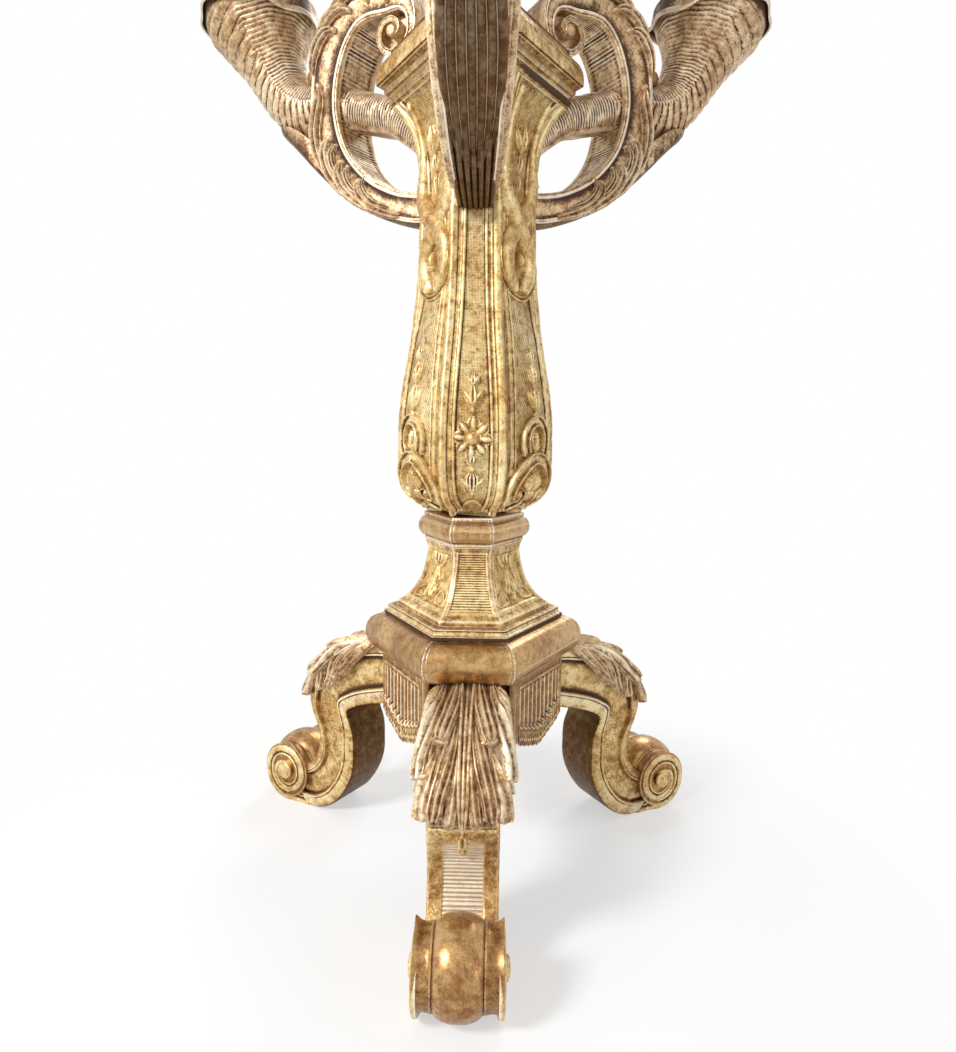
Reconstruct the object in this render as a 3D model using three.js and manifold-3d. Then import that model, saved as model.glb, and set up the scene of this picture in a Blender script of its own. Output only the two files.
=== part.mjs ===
// A carved and gilded candle stand on three scrolled legs, with three horn-shaped branches.
// Millimetres, +Z up. The shaft is a triangle with its corners cut off: narrow faces look at the
// legs and branches, wide faces lie between them.
import * as THREE from 'three';
import { mergeVertices } from 'three/addons/utils/BufferGeometryUtils.js';
import Module from 'manifold-3d';

const wasm = await Module();
wasm.setup();

// ---------------------------------------------------------------- driving dimensions

const glueLine = 0.3;            // space left between neighbouring pieces
const narrowHalfAngle = 21.5;    // degrees from the middle of a narrow face to its corner
const sides = { front: -90, right: 30, left: 150 };   // degrees, where legs and branches point
const between = { right: -30, back: 90, left: 210 };  // degrees, where wide faces and hanging panels look

// Legs
const legHeight = 277;             // floor to the underside of the plinth
const legWidth = 76;
const footReach = 308;           // axis of the stand to the middle of a foot roll
const footRollRadius = 50;
const footRollWidth = 54;        // the swelling part of the roll
const footCheekRadius = 39;
const footCheekWidth = 90;       // over both cheeks
const bossRadius = 22;
const bossDepth = 6;
const leafThickness = 9;         // acanthus that covers the knee
const leafOverhang = 10;         // on each side of the leg
const legDowelRadius = 8;
const legDowelLength = 60;
const legDowelSpacing = 44;
const legDowelDrop = 42;         // underside of the plinth to the middle of a dowel pair

// Apron
const apronHeight = 80;
const panelThickness = 12;
const panelScallops = 5;
const panelScallopDrop = 7;
const panelHang = 14;            // how much lower the middle of the fringe hangs than its ends

// Radii at the corners, and heights, of the pieces stacked on the legs
const plinthRadius = 150;
const plinthHeight = 51;
const plinthRollDepth = 22;      // of its half-round edge
const stepRadius = 123;
const stepHeight = 14;
const socleFootRadius = 104;
const socleWaistRadius = 62;
const socleHeight = 92;
const collarRadius = 75;
const collarHeight = 38;
const collarRollDepth = 8;
const shaftBellyRadius = 99.5;
const shaftNeckRadius = 70;
const shaftTopRadius = 108;
const shaftHeight = 505;
const faceCrown = 9.5;           // how far the middle of a wide face swells at the belly
const reliefDepth = 4;           // how deep the relief is rooted in its face
const reliefRoot = 40;           // from the axis to the back of the swelling
const strapWidths = [22, 26];    // at the branch and in the volute
const strapHeight = 8;
const strapOver = 3;             // how much higher the strap on top lies
const beltWidths = [15, 14];     // of the arch and of the C-scrolls on the belly
const beltHeight = 7;
const capitalRadius = 131;
const capitalTopRadius = 112;
const capitalHeight = 65;
const stemRadius = 60;
const stemWaistRadius = 36;
const stemHeight = 160;
const platformRadius = 150;
const platformHeight = 46;
const platformRollDepth = 17;
const dowelRadius = 16;          // round tenons that join the stack
const dowelDepth = 34;           // how far each tenon enters its piece
const rollTurn = 80;             // degrees a half-round edge turns, up and down from its middle

// Branches
const branchWidth = 46;          // of the flat C-scroll
const scrollHeight = 299;          // underside to top of the C-scroll
const scrollReach = 177;         // shaft face to the outer edge of the C-scroll
const scrollHang = 139;          // top of the shaft to the underside of the C-scroll
const branchDowelRadius = 7;
const branchDowelLength = 50;
const hornDowelLength = 90;      // through the scroll, from root to horn
const hornRootRadius = 24;
const hornNeckRadius = 35;
const hornMouthRadius = 92;
const hornSpread = 125;          // outer edge of the C-scroll to the middle of a horn's mouth
const hornHeight = 180;            // top of the shaft to the rim of a horn
const hornLobes = 7;
const berryRadius = 12.5;
const mouthFloorRadius = 30;
const mouthDepth = 26;

// Candle cups
const cupFootRadius = 24;
const cupStemRadius = 9;
const panRadius = 56;
const nozzleRadius = 17;
const socketRadius = 11.5;
const socketDepth = 40;
const cupHeight = 96;

// ---------------------------------------------------------------- heights of the stack

const plinthBase = legHeight;
const stepBase = plinthBase + plinthHeight;
const socleBase = stepBase + stepHeight;
const collarBase = socleBase + socleHeight;
const shaftBase = collarBase + collarHeight;
const capitalBase = shaftBase + shaftHeight;
const stemBase = capitalBase + capitalHeight;
const platformBase = stemBase + stemHeight;
const apronBase = legHeight - apronHeight;
const scrollBase = capitalBase - scrollHang;
const hornRim = capitalBase + hornHeight;

const radians = THREE.MathUtils.degToRad;
const narrowFace = Math.cos(radians(narrowHalfAngle));        // face distance over corner radius
const wideFace = Math.cos(radians(60 - narrowHalfAngle));
const narrowHalfWidth = Math.sin(radians(narrowHalfAngle));   // of a face, over corner radius
const wideHalfWidth = Math.sin(radians(60 - narrowHalfAngle));

// The block between the legs is as wide as a leg on its narrow faces.
const apronRadius = (legWidth / 2 + glueLine / 2) / narrowHalfWidth;

// ---------------------------------------------------------------- solids

function solidOf(geometry) {
  const bare = geometry.clone();
  for (const name of Object.keys(bare.attributes)) {
    if (name !== 'position') bare.deleteAttribute(name);
  }
  const merged = mergeVertices(bare, 1e-4);
  const corners = merged.index.array;
  const kept = [];
  for (let i = 0; i < corners.length; i += 3) {
    const [a, b, c] = [corners[i], corners[i + 1], corners[i + 2]];
    if (a !== b && b !== c && c !== a) kept.push(a, b, c);
  }
  return new wasm.Manifold(new wasm.Mesh({
    numProp: 3,
    vertProperties: new Float32Array(merged.attributes.position.array),
    triVerts: new Uint32Array(kept),
  }));
}

function geometryOf(solid) {
  const { vertProperties, triVerts } = solid.getMesh();
  const geometry = new THREE.BufferGeometry();
  geometry.setAttribute('position', new THREE.BufferAttribute(new Float32Array(vertProperties), 3));
  geometry.setIndex(new THREE.BufferAttribute(new Uint32Array(triVerts), 1));
  geometry.computeVertexNormals();
  return geometry;
}

const cut = (geometry, ...tools) =>
  geometryOf(tools.reduce((solid, tool) => solid.subtract(solidOf(tool)), solidOf(geometry)));
const join = (geometry, ...others) =>
  geometryOf(others.reduce((solid, other) => solid.add(solidOf(other)), solidOf(geometry)));

// A piece of the stack: a profile of [corner radius, height] taken round the six-sided plan.
function stacked(profile, grow = 0) {
  const points = profile.map(([radius, z]) =>
    new THREE.Vector2(radius > 0 ? radius + grow / wideFace : 0, z));
  const geometry = new THREE.LatheGeometry(points, 6);
  geometry.rotateX(Math.PI / 2);
  const position = geometry.attributes.position;
  for (let i = 0; i < position.count; i += 1) {
    const radius = Math.hypot(position.getX(i), position.getY(i));
    const corner = Math.floor(i / points.length) % 6;
    const middle = Math.floor(corner / 2) * 120;
    const angle = radians(middle + (corner % 2 ? narrowHalfAngle : -narrowHalfAngle) - 90);
    position.setXY(i, radius * Math.cos(angle), radius * Math.sin(angle));
  }
  return geometry;
}

// A round upright piece: a profile of [radius, height].
function turned(profile, segments = 20) {
  const points = profile.map(([radius, z]) => new THREE.Vector2(radius, z));
  return new THREE.LatheGeometry(points, segments).rotateX(Math.PI / 2);
}

// A flat piece that stands in the plane through the axis: an outline of [radius, height].
function upright(shape, width, steps = 6) {
  const geometry = new THREE.ExtrudeGeometry(shape, { depth: width, bevelEnabled: false, curveSegments: steps });
  return geometry.rotateX(Math.PI / 2).translate(0, width / 2, 0);
}

function post(radius, bottom, top, segments = 16) {
  const height = top - bottom;
  return new THREE.CylinderGeometry(radius, radius, height, segments)
    .rotateX(Math.PI / 2).translate(0, 0, bottom + height / 2);
}

function radialPin(radius, start, length, z, segments = 12) {
  return new THREE.CylinderGeometry(radius, radius, length, segments)
    .rotateZ(Math.PI / 2).translate(start + length / 2, 0, z);
}

function crossPin(radius, width, r, z, segments = 28) {
  return new THREE.CylinderGeometry(radius, radius, width, segments).translate(r, 0, z);
}

const vectors = (points) => points.map(([x, y]) => new THREE.Vector2(x, y));

// Points of a curve of round profile, as [radius, height], through a quarter or half turn.
function bulge(r, z, width, height, from, to, count) {
  return Array.from({ length: count + 1 }, (_, i) => {
    const angle = radians(from + ((to - from) * i) / count);
    return [r + width * Math.cos(angle), z + height * Math.sin(angle)];
  });
}

// ---------------------------------------------------------------- materials

const gilding = new THREE.MeshStandardMaterial({ color: 0xc8a055, roughness: 0.42, metalness: 0.75 });
const burnished = new THREE.MeshStandardMaterial({ color: 0x96713f, roughness: 0.3, metalness: 0.75 });
const bareWood = new THREE.MeshStandardMaterial({ color: 0x6b5130, roughness: 0.7, metalness: 0 });

const axisGroup = new THREE.Group();

function place(name, geometry, material, degrees = 0) {
  const mesh = new THREE.Mesh(geometry, material);
  mesh.name = name;
  mesh.rotation.z = radians(degrees);
  axisGroup.add(mesh);
}

// ---------------------------------------------------------------- profiles of the stack

const plinthProfile = [
  [0, plinthBase + glueLine],
  [plinthRadius - plinthRollDepth, plinthBase + glueLine],
  ...bulge(plinthRadius - plinthRollDepth, plinthBase + plinthHeight / 2, plinthRollDepth,
    plinthHeight / 2 - 0.5, -rollTurn, rollTurn, 8),
  [plinthRadius - plinthRollDepth, stepBase],
  [0, stepBase],
];

const stepProfile = [
  [0, stepBase + glueLine],
  [stepRadius, stepBase + glueLine],
  [stepRadius, stepBase + stepHeight * 0.45],
  [stepRadius - 5, stepBase + stepHeight * 0.55],
  [stepRadius - 9, socleBase],
  [0, socleBase],
];

const socleFlare = socleFootRadius - socleWaistRadius;
const socleProfile = [
  [0, socleBase + glueLine],
  [socleFootRadius, socleBase + glueLine],
  [socleFootRadius, socleBase + 6],
  [socleWaistRadius + socleFlare * 0.8, socleBase + socleHeight * 0.12],
  [socleWaistRadius + socleFlare * 0.45, socleBase + socleHeight * 0.28],
  [socleWaistRadius + socleFlare * 0.22, socleBase + socleHeight * 0.45],
  [socleWaistRadius + socleFlare * 0.07, socleBase + socleHeight * 0.68],
  [socleWaistRadius, socleBase + socleHeight * 0.86],
  [socleWaistRadius + 4, collarBase],
  [0, collarBase],
];

const collarProfile = [
  [0, collarBase + glueLine],
  [collarRadius - collarRollDepth - 1, collarBase + glueLine],
  [collarRadius - collarRollDepth - 1, collarBase + 5],
  ...bulge(collarRadius - collarRollDepth, collarBase + collarHeight * 0.48, collarRollDepth,
    collarHeight * 0.33, -rollTurn, rollTurn, 6),
  [collarRadius - collarRollDepth, shaftBase - 5],
  [collarRadius - collarRollDepth, shaftBase],
  [0, shaftBase],
];

const bellySwell = shaftBellyRadius - shaftNeckRadius;
const shaftAt = (share) => shaftBase + shaftHeight * share;
const shaftProfile = [
  [0, shaftBase + glueLine],
  [shaftBellyRadius * 0.65, shaftBase + glueLine],
  [shaftBellyRadius * 0.72, shaftAt(0.014)],
  [shaftBellyRadius * 0.86, shaftAt(0.046)],
  [shaftBellyRadius * 0.94, shaftAt(0.08)],
  [shaftBellyRadius * 0.985, shaftAt(0.12)],
  [shaftBellyRadius, shaftAt(0.17)],
  [shaftNeckRadius + bellySwell * 0.96, shaftAt(0.23)],
  [shaftNeckRadius + bellySwell * 0.83, shaftAt(0.29)],
  [shaftNeckRadius + bellySwell * 0.67, shaftAt(0.35)],
  [shaftNeckRadius + bellySwell * 0.48, shaftAt(0.41)],
  [shaftNeckRadius + bellySwell * 0.31, shaftAt(0.47)],
  [shaftNeckRadius + bellySwell * 0.18, shaftAt(0.53)],
  [shaftNeckRadius + bellySwell * 0.08, shaftAt(0.61)],
  [shaftNeckRadius, shaftAt(0.74)],
  [shaftNeckRadius + 1, shaftAt(0.81)],
  [shaftNeckRadius + (shaftTopRadius - shaftNeckRadius) * 0.16, shaftAt(0.88)],
  [shaftNeckRadius + (shaftTopRadius - shaftNeckRadius) * 0.42, shaftAt(0.94)],
  [shaftNeckRadius + (shaftTopRadius - shaftNeckRadius) * 0.74, shaftAt(0.98)],
  [shaftTopRadius, capitalBase],
  [0, capitalBase],
];

const capitalProfile = [
  [0, capitalBase + glueLine],
  [capitalRadius - 22, capitalBase + glueLine],
  ...bulge(capitalRadius - 21, capitalBase + 6, 4, 4, -60, 60, 3),
  [capitalRadius - 20, capitalBase + 11],
  ...bulge(capitalRadius - 15, capitalBase + 15, 4, 4, -60, 60, 3),
  [capitalRadius - 14, capitalBase + 20],
  [capitalRadius - 6, capitalBase + 22],
  ...bulge(capitalTopRadius, capitalBase + 31, capitalRadius - capitalTopRadius, 25, -10, 75, 6),
  [capitalTopRadius, stemBase - 8],
  [capitalTopRadius, stemBase],
  [0, stemBase],
];

const stemFlare = stemRadius - stemWaistRadius;
const stemProfile = [
  [0, stemBase + glueLine],
  [stemRadius, stemBase + glueLine],
  [stemRadius, stemBase + 9],
  [stemWaistRadius + stemFlare * 0.6, stemBase + stemHeight * 0.14],
  [stemWaistRadius + stemFlare * 0.2, stemBase + stemHeight * 0.3],
  [stemWaistRadius, stemBase + stemHeight * 0.48],
  [stemWaistRadius + stemFlare * 0.08, stemBase + stemHeight * 0.68],
  [stemWaistRadius + stemFlare * 0.35, stemBase + stemHeight * 0.84],
  [stemWaistRadius + stemFlare * 0.8, platformBase - 10],
  [stemRadius, platformBase - 8],
  [stemRadius, platformBase],
  [0, platformBase],
];

const platformTop = platformBase + platformHeight;
const platformProfile = [
  [0, platformBase + glueLine],
  [stemRadius + 6, platformBase + glueLine],
  [stemRadius + 16, platformBase + platformHeight * 0.14],
  [platformRadius * 0.68, platformBase + platformHeight * 0.26],
  [platformRadius - 26, platformBase + platformHeight * 0.32],
  ...bulge(platformRadius - platformRollDepth, platformBase + platformHeight * 0.64, platformRollDepth,
    platformHeight * 0.3, -rollTurn, rollTurn, 8),
  [platformRadius - platformRollDepth - 1, platformTop],
  [0, platformTop],
];

// ---------------------------------------------------------------- the stack and its tenons

// Each tenon crosses one or more joints: lower end, upper end.
const tenons = {
  tenon_base: [apronBase + 20, socleBase + dowelDepth],
  tenon_shaft: [collarBase - dowelDepth, shaftBase + dowelDepth],
  tenon_capital: [capitalBase - dowelDepth, stemBase + dowelDepth],
  tenon_platform: [platformBase - dowelDepth, platformBase + platformHeight * 0.6],
};
const tenonHoles = Object.values(tenons).map(([bottom, top]) =>
  post(dowelRadius + glueLine, bottom - glueLine, top + glueLine));

for (const [name, [bottom, top]] of Object.entries(tenons)) {
  place(name, post(dowelRadius, bottom, top), bareWood);
}

const apronProfile = [
  [0, apronBase],
  [apronRadius, apronBase],
  [apronRadius, plinthBase],
  [0, plinthBase],
];

const legRoot = apronRadius * narrowFace + glueLine;
const legDowelHeights = [-0.5, 0.5].map((side) => legHeight - legDowelDrop + side * legDowelSpacing);
const legDowelStart = legRoot - legDowelLength / 2;

// Holes for the leg dowels, seen from the block between the legs.
const blockHoles = Object.values(sides).flatMap((degrees) => legDowelHeights.map((z) =>
  radialPin(legDowelRadius + glueLine, legDowelStart - glueLine, legDowelLength, z).rotateZ(radians(degrees))));

place('apron_block', cut(stacked(apronProfile), ...tenonHoles, ...blockHoles), bareWood);
place('plinth', cut(stacked(plinthProfile), ...tenonHoles), burnished);
place('plinth_step', cut(stacked(stepProfile), ...tenonHoles), gilding);
place('socle', cut(stacked(socleProfile), ...tenonHoles), gilding);
place('collar', cut(stacked(collarProfile), ...tenonHoles), burnished);
place('upper_stem', cut(stacked(stemProfile), ...tenonHoles), gilding);
place('platform', cut(stacked(platformProfile), ...tenonHoles), burnished);

// ---------------------------------------------------------------- legs

// A point of the leg's outline: share of the way out to the foot, share of the way up.
const legPoint = (out, up) => [legRoot + (footReach - legRoot) * out, legHeight * up];

const kneeCurve = [
  legPoint(0.14, 0.9989),
  legPoint(0.27, 0.983),
  legPoint(0.417, 0.96),
  legPoint(0.545, 0.92),
  legPoint(0.654, 0.855),
  legPoint(0.725, 0.783),
  legPoint(0.768, 0.704),
  legPoint(0.78, 0.632),
  legPoint(0.758, 0.56),
];
const shinCurve = [
  legPoint(0.758, 0.56),
  legPoint(0.715, 0.487),
  legPoint(0.699, 0.426),
  legPoint(0.703, 0.365),
  legPoint(0.727, 0.31),
  legPoint(0.77, 0.265),
  legPoint(0.83, 0.235),
];
const heelCurve = [
  legPoint(0.8, 0),
  legPoint(0.71, 0.011),
  legPoint(0.602, 0.047),
  legPoint(0.502, 0.123),
  legPoint(0.431, 0.209),
  legPoint(0.393, 0.296),
  legPoint(0.381, 0.383),
  legPoint(0.388, 0.462),
  legPoint(0.4405, 0.596),
];
const archCurve = [
  legPoint(0.4405, 0.596),
  legPoint(0.384, 0.632),
  legPoint(0.303, 0.664),
  legPoint(0.156, 0.693),
  legPoint(0, 0.711),
];

function legOutline() {
  const shape = new THREE.Shape();
  shape.moveTo(legRoot, legHeight - glueLine);
  shape.lineTo(...kneeCurve[0]);
  shape.splineThru(vectors(kneeCurve.slice(1)));
  shape.splineThru(vectors(shinCurve.slice(1)));
  shape.lineTo(footReach, footRollRadius);
  shape.lineTo(footReach, 0);
  shape.lineTo(...heelCurve[0]);
  shape.splineThru(vectors(heelCurve.slice(1)));
  shape.splineThru(vectors(archCurve.slice(1)));
  return shape;
}

// The foot roll lies across the leg: a barrel between two cheeks.
function footRoll() {
  const half = footRollWidth / 2;
  const swelling = footRollRadius - footCheekRadius;
  const profile = [
    [0, -footCheekWidth / 2],
    [footCheekRadius, -footCheekWidth / 2],
    [footCheekRadius, -half],
    ...bulge(footCheekRadius, 0, swelling, half, -70, 70, 6),
    [footCheekRadius, half],
    [footCheekRadius, footCheekWidth / 2],
    [0, footCheekWidth / 2],
  ];
  return turned(profile, 28).rotateX(Math.PI / 2).translate(footReach, 0, footRollRadius);
}

const legHoles = legDowelHeights.map((z) =>
  radialPin(legDowelRadius + glueLine, legDowelStart, legDowelLength + glueLine, z));
const legGeometry = cut(join(upright(legOutline(), legWidth, 2), footRoll()), ...legHoles);

// Acanthus leaf laid over the knee: it follows the knee's curve at a steady thickness.
function leafOutline() {
  const knee = new THREE.SplineCurve(vectors(kneeCurve.slice(1))).getPoints(14);
  const shifted = (distance, taper) => knee.map((point, i) => {
    const before = knee[Math.max(i - 1, 0)];
    const after = knee[Math.min(i + 1, knee.length - 1)];
    const normal = new THREE.Vector2(-(after.y - before.y), after.x - before.x).normalize();
    const share = i / (knee.length - 1);
    const height = taper ? distance * Math.min(1, 0.25 + 3 * share) : distance;
    return point.clone().addScaledVector(normal, height);
  });
  return new THREE.Shape([...shifted(glueLine, false), ...shifted(leafThickness, true).reverse()]);
}
const leafGeometry = upright(leafOutline(), legWidth + 2 * leafOverhang);

for (const [side, degrees] of Object.entries(sides)) {
  place(`leg_${side}`, legGeometry, gilding, degrees);
  place(`knee_leaf_${side}`, leafGeometry, gilding, degrees);
  for (const [which, sign] of [['left', 1], ['right', -1]]) {
    const middle = sign * (footCheekWidth / 2 + glueLine + bossDepth / 2);
    const boss = crossPin(bossRadius, bossDepth, footReach, footRollRadius, 20).translate(0, middle, 0);
    place(`foot_boss_${side}_${which}`, boss, gilding, degrees);
  }
  for (const [which, z] of [['lower', legDowelHeights[0]], ['upper', legDowelHeights[1]]]) {
    place(`leg_dowel_${side}_${which}`, radialPin(legDowelRadius, legDowelStart, legDowelLength - glueLine, z),
      bareWood, degrees);
  }
}

// ---------------------------------------------------------------- apron panels

// Hanging panel with a scalloped lower edge, on each wide face of the block.
function apronPanel() {
  const half = apronRadius * wideHalfWidth - glueLine;
  const faceDistance = apronRadius * wideFace + glueLine;
  const shape = new THREE.Shape();
  shape.moveTo(half, legHeight);
  shape.lineTo(-half, legHeight);
  const fringe = (x) => apronBase - panelHang * (1 - (x / half) ** 4);
  shape.lineTo(-half, fringe(-half));
  const pitch = (2 * half) / panelScallops;
  for (let i = 0; i < panelScallops; i += 1) {
    const middle = -half + (i + 0.5) * pitch;
    const right = middle + pitch / 2;
    shape.quadraticCurveTo(middle, fringe(middle) - 2 * panelScallopDrop, right, fringe(right));
  }
  const geometry = new THREE.ExtrudeGeometry(shape, { depth: panelThickness, bevelEnabled: false, curveSegments: 4 });
  return geometry.rotateX(Math.PI / 2).rotateZ(Math.PI / 2).translate(faceDistance, 0, 0);
}
const apronGeometry = apronPanel();
for (const [name, degrees] of Object.entries(between)) {
  place(`apron_panel_${name}`, apronGeometry, gilding, degrees);
}

// ---------------------------------------------------------------- branches

const shaftFace = shaftNeckRadius * narrowFace;
const hornReach = shaftFace + scrollReach + hornSpread;   // axis to the middle of a horn's mouth

// A point of the C-scroll's outline: share of its reach, share of its rise.
const scrollPoint = (out, up) => [shaftFace + scrollReach * out, scrollBase + scrollHeight * up];

const scrollOuter = [
  scrollPoint(-0.12, 0),
  scrollPoint(0.14, 0.012),
  scrollPoint(0.34, 0.045),
  scrollPoint(0.56, 0.1),
  scrollPoint(0.76, 0.185),
  scrollPoint(0.91, 0.3),
  scrollPoint(0.985, 0.43),
  scrollPoint(1, 0.575),
  scrollPoint(0.972, 0.725),
  scrollPoint(0.88, 0.853),
  scrollPoint(0.72, 0.945),
  scrollPoint(0.51, 0.995),
  scrollPoint(0.28, 0.98),
  scrollPoint(0.115, 0.92),
  scrollPoint(0.06, 0.835),
  scrollPoint(0.085, 0.75),
];
const scrollInner = [
  scrollPoint(0.39, 0.85),
  scrollPoint(0.51, 0.845),
  scrollPoint(0.61, 0.803),
  scrollPoint(0.69, 0.727),
  scrollPoint(0.73, 0.64),
  scrollPoint(0.748, 0.54),
  scrollPoint(0.727, 0.42),
  scrollPoint(0.685, 0.355),
  scrollPoint(0.61, 0.29),
  scrollPoint(0.49, 0.225),
  scrollPoint(0.34, 0.17),
  scrollPoint(0.18, 0.138),
  scrollPoint(-0.12, 0.12),
];
const volute = { at: scrollPoint(0.245, 0.775), radius: 28 };

function scrollOutline() {
  const shape = new THREE.Shape();
  shape.moveTo(...scrollOuter[0]);
  shape.splineThru(vectors(scrollOuter.slice(1)));
  shape.lineTo(...volute.at);
  shape.lineTo(...scrollInner[0]);
  shape.splineThru(vectors(scrollInner.slice(1)));
  return shape;
}

// Branches are cut to the stack, so its corner is turned to +X, where they are drawn.
const stackCutters = [shaftProfile, capitalProfile].map((profile) =>
  stacked(profile, glueLine).rotateZ(Math.PI / 2));

const branchDowelHeight = scrollBase + scrollHeight * 0.062;
const branchDowelStart = shaftFace - branchDowelLength / 2;
const branchHole = radialPin(branchDowelRadius + glueLine, branchDowelStart - glueLine,
  branchDowelLength + 2 * glueLine, branchDowelHeight);

const scrollSolid = join(
  upright(scrollOutline(), branchWidth, 2),
  crossPin(volute.radius, branchWidth, ...volute.at),
);
// Stations along a horn: share of its reach, share of its rise below the rim, half thickness.
const hornStations = [
  [0.1, 1.46, hornRootRadius],
  [0.234, 1.13, hornRootRadius],
  [0.32, 1.005, hornRootRadius],
  [0.4, 0.95, hornRootRadius],
  [0.5, 0.889, hornRootRadius * 1.04],
  [0.613, 0.839, hornRootRadius * 1.2],
  [0.714, 0.833, hornNeckRadius * 0.94],
  [0.79, 0.772, hornNeckRadius * 0.97],
  [0.847, 0.683, hornNeckRadius],
  [0.894, 0.55, hornNeckRadius * 1.09],
  [0.926, 0.428, hornNeckRadius * 1.23],
  [0.948, 0.328, hornNeckRadius * 1.46],
  [0.965, 0.239, hornNeckRadius * 1.72],
  [0.984, 0.122, hornMouthRadius * 0.85],
  [0.997, 0.04, hornMouthRadius],
];
const hornSides = 3 * hornLobes;

function hornRing(centre, along, radius, lobe = 0) {
  const across = new THREE.Vector3(0, 1, 0);
  const up = new THREE.Vector3().crossVectors(along, across).normalize();
  return Array.from({ length: hornSides }, (_, i) => {
    const angle = (2 * Math.PI * i) / hornSides;
    const reach = radius * (1 + lobe * Math.cos(hornLobes * angle));
    return centre.clone()
      .addScaledVector(across, -reach * Math.sin(angle))
      .addScaledVector(up, reach * Math.cos(angle));
  });
}

// A closed skin over rings of points, the first and last ring ending in a middle point.
function skinned(rings) {
  const count = rings[0].length;
  const middle = (ring) => ring.reduce((sum, p) => sum.add(p), new THREE.Vector3()).divideScalar(count);
  const points = [...rings.flat(), middle(rings[0]), middle(rings[rings.length - 1])];
  const last = (rings.length - 1) * count;
  const index = [];
  for (let i = 0; i < count; i += 1) {
    const j = (i + 1) % count;
    for (let r = 0; r < last; r += count) index.push(r + i, r + j, r + count + j, r + i, r + count + j, r + count + i);
    index.push(points.length - 2, j, i, points.length - 1, last + i, last + j);
  }
  return new THREE.BufferGeometry().setFromPoints(points).setIndex(index);
}

// A whole horn, from inside the shaft to its lobed and hollow mouth.
function horn(grow = 0) {
  const centres = hornStations.map(([out, below]) =>
    new THREE.Vector3(hornReach * out, 0, hornRim - hornHeight * below));
  const rings = centres.map((centre, i) => {
    const before = centres[Math.max(i - 1, 0)];
    const after = centres[Math.min(i + 1, centres.length - 1)];
    const lobe = i > centres.length - 3 ? 0.035 : 0;
    return hornRing(centre, after.clone().sub(before).normalize(), hornStations[i][2] + grow, lobe);
  });
  const mouth = [[0, hornMouthRadius * 0.93 + grow, 0.03], [mouthDepth * 0.3, hornMouthRadius * 0.72, 0],
    [mouthDepth * 0.85, hornMouthRadius * 0.45, 0], [mouthDepth, mouthFloorRadius, 0]];
  for (const [depth, radius, lobe] of mouth) {
    const centre = new THREE.Vector3(hornReach, 0, hornRim - depth);
    rings.push(hornRing(centre, new THREE.Vector3(0, 0, 1), radius, lobe));
  }
  return skinned(rings);
}

// The flat scroll divides each horn into a root, inside the scroll, and the horn itself, outside.
const dividers = [-glueLine, 0, glueLine].map((shift) =>
  upright(scrollOutline(), 4 * hornMouthRadius, 2).translate(shift, 0, 0));
const divideRadius = (scrollPoint(0.748, 0)[0] + scrollPoint(1, 0)[0]) / 2;
const beyond = (side) => new THREE.BoxGeometry(2 * hornReach, 4 * hornMouthRadius, 4 * hornHeight)
  .translate(divideRadius + side * hornReach, 0, hornRim - hornHeight);

const hornDowelHeight = hornRim - hornHeight * 0.842;
const hornDowelHole = radialPin(branchDowelRadius + glueLine, divideRadius - hornDowelLength / 2 - glueLine,
  hornDowelLength + 2 * glueLine, hornDowelHeight);
const scrollGeometry = cut(scrollSolid, ...stackCutters, branchHole, hornDowelHole);
const rootGeometry = cut(horn(), beyond(1), ...dividers, ...stackCutters, hornDowelHole);
const hornGeometry = cut(horn(), beyond(-1), ...dividers, hornDowelHole);

// Height of a horn's back at a distance from the axis of the stand.
function hornBack(distance) {
  const backs = hornStations.map(([out, below, half]) => [hornReach * out, hornRim - hornHeight * below + half]);
  const after = backs.findIndex(([reach]) => reach > distance);
  const [[nearReach, nearBack], [farReach, farBack]] = [backs[after - 1], backs[after]];
  return nearBack + ((farBack - nearBack) * (distance - nearReach)) / (farReach - nearReach);
}

// A round berry lies on the horn's back, in its crotch with the scroll.
const berryReach = scrollPoint(1, 0)[0] + berryRadius * 1.8;
const berryPlace = [berryReach, hornBack(berryReach) + berryRadius * 1.15];
const berryGeometry = cut(
  new THREE.SphereGeometry(berryRadius, 16, 12).translate(berryPlace[0], 0, berryPlace[1]),
  horn(glueLine),
  ...dividers,
);

// Candle cup: a turned foot and stem, a drip pan, and a nozzle with a socket.
const cupBase = hornRim - mouthDepth + glueLine;
const cupTop = cupBase + cupHeight;
const panHeight = cupBase + cupHeight * 0.42;
const cupProfile = [
  [0, cupBase],
  [cupFootRadius, cupBase],
  [cupFootRadius, cupBase + 4],
  [cupStemRadius + 3, cupBase + 10],
  [cupStemRadius, cupBase + 18],
  [cupStemRadius + 5, panHeight - 8],
  [panRadius - 12, panHeight - 4],
  [panRadius, panHeight + 5],
  [panRadius - 2, panHeight + 7],
  [panRadius - 13, panHeight],
  [nozzleRadius - 3, panHeight],
  [nozzleRadius, panHeight + 12],
  [nozzleRadius - 2, cupTop - 12],
  [nozzleRadius + 5, cupTop - 3],
  [nozzleRadius + 4, cupTop],
  [socketRadius, cupTop],
  [socketRadius, cupTop - socketDepth],
  [0, cupTop - socketDepth],
];
const cupGeometry = turned(cupProfile).translate(hornReach, 0, 0);

// ---------------------------------------------------------------- relief on the shaft

// Corner radius of the shaft at a height.
function shaftCorner(z) {
  const outline = shaftProfile.slice(1, -1);
  const after = Math.max(1, outline.findIndex(([, height]) => height >= z));
  const [[lowRadius, low], [highRadius, high]] = [outline[after - 1], outline[after]];
  return lowRadius + ((highRadius - lowRadius) * (z - low)) / (high - low);
}

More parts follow.
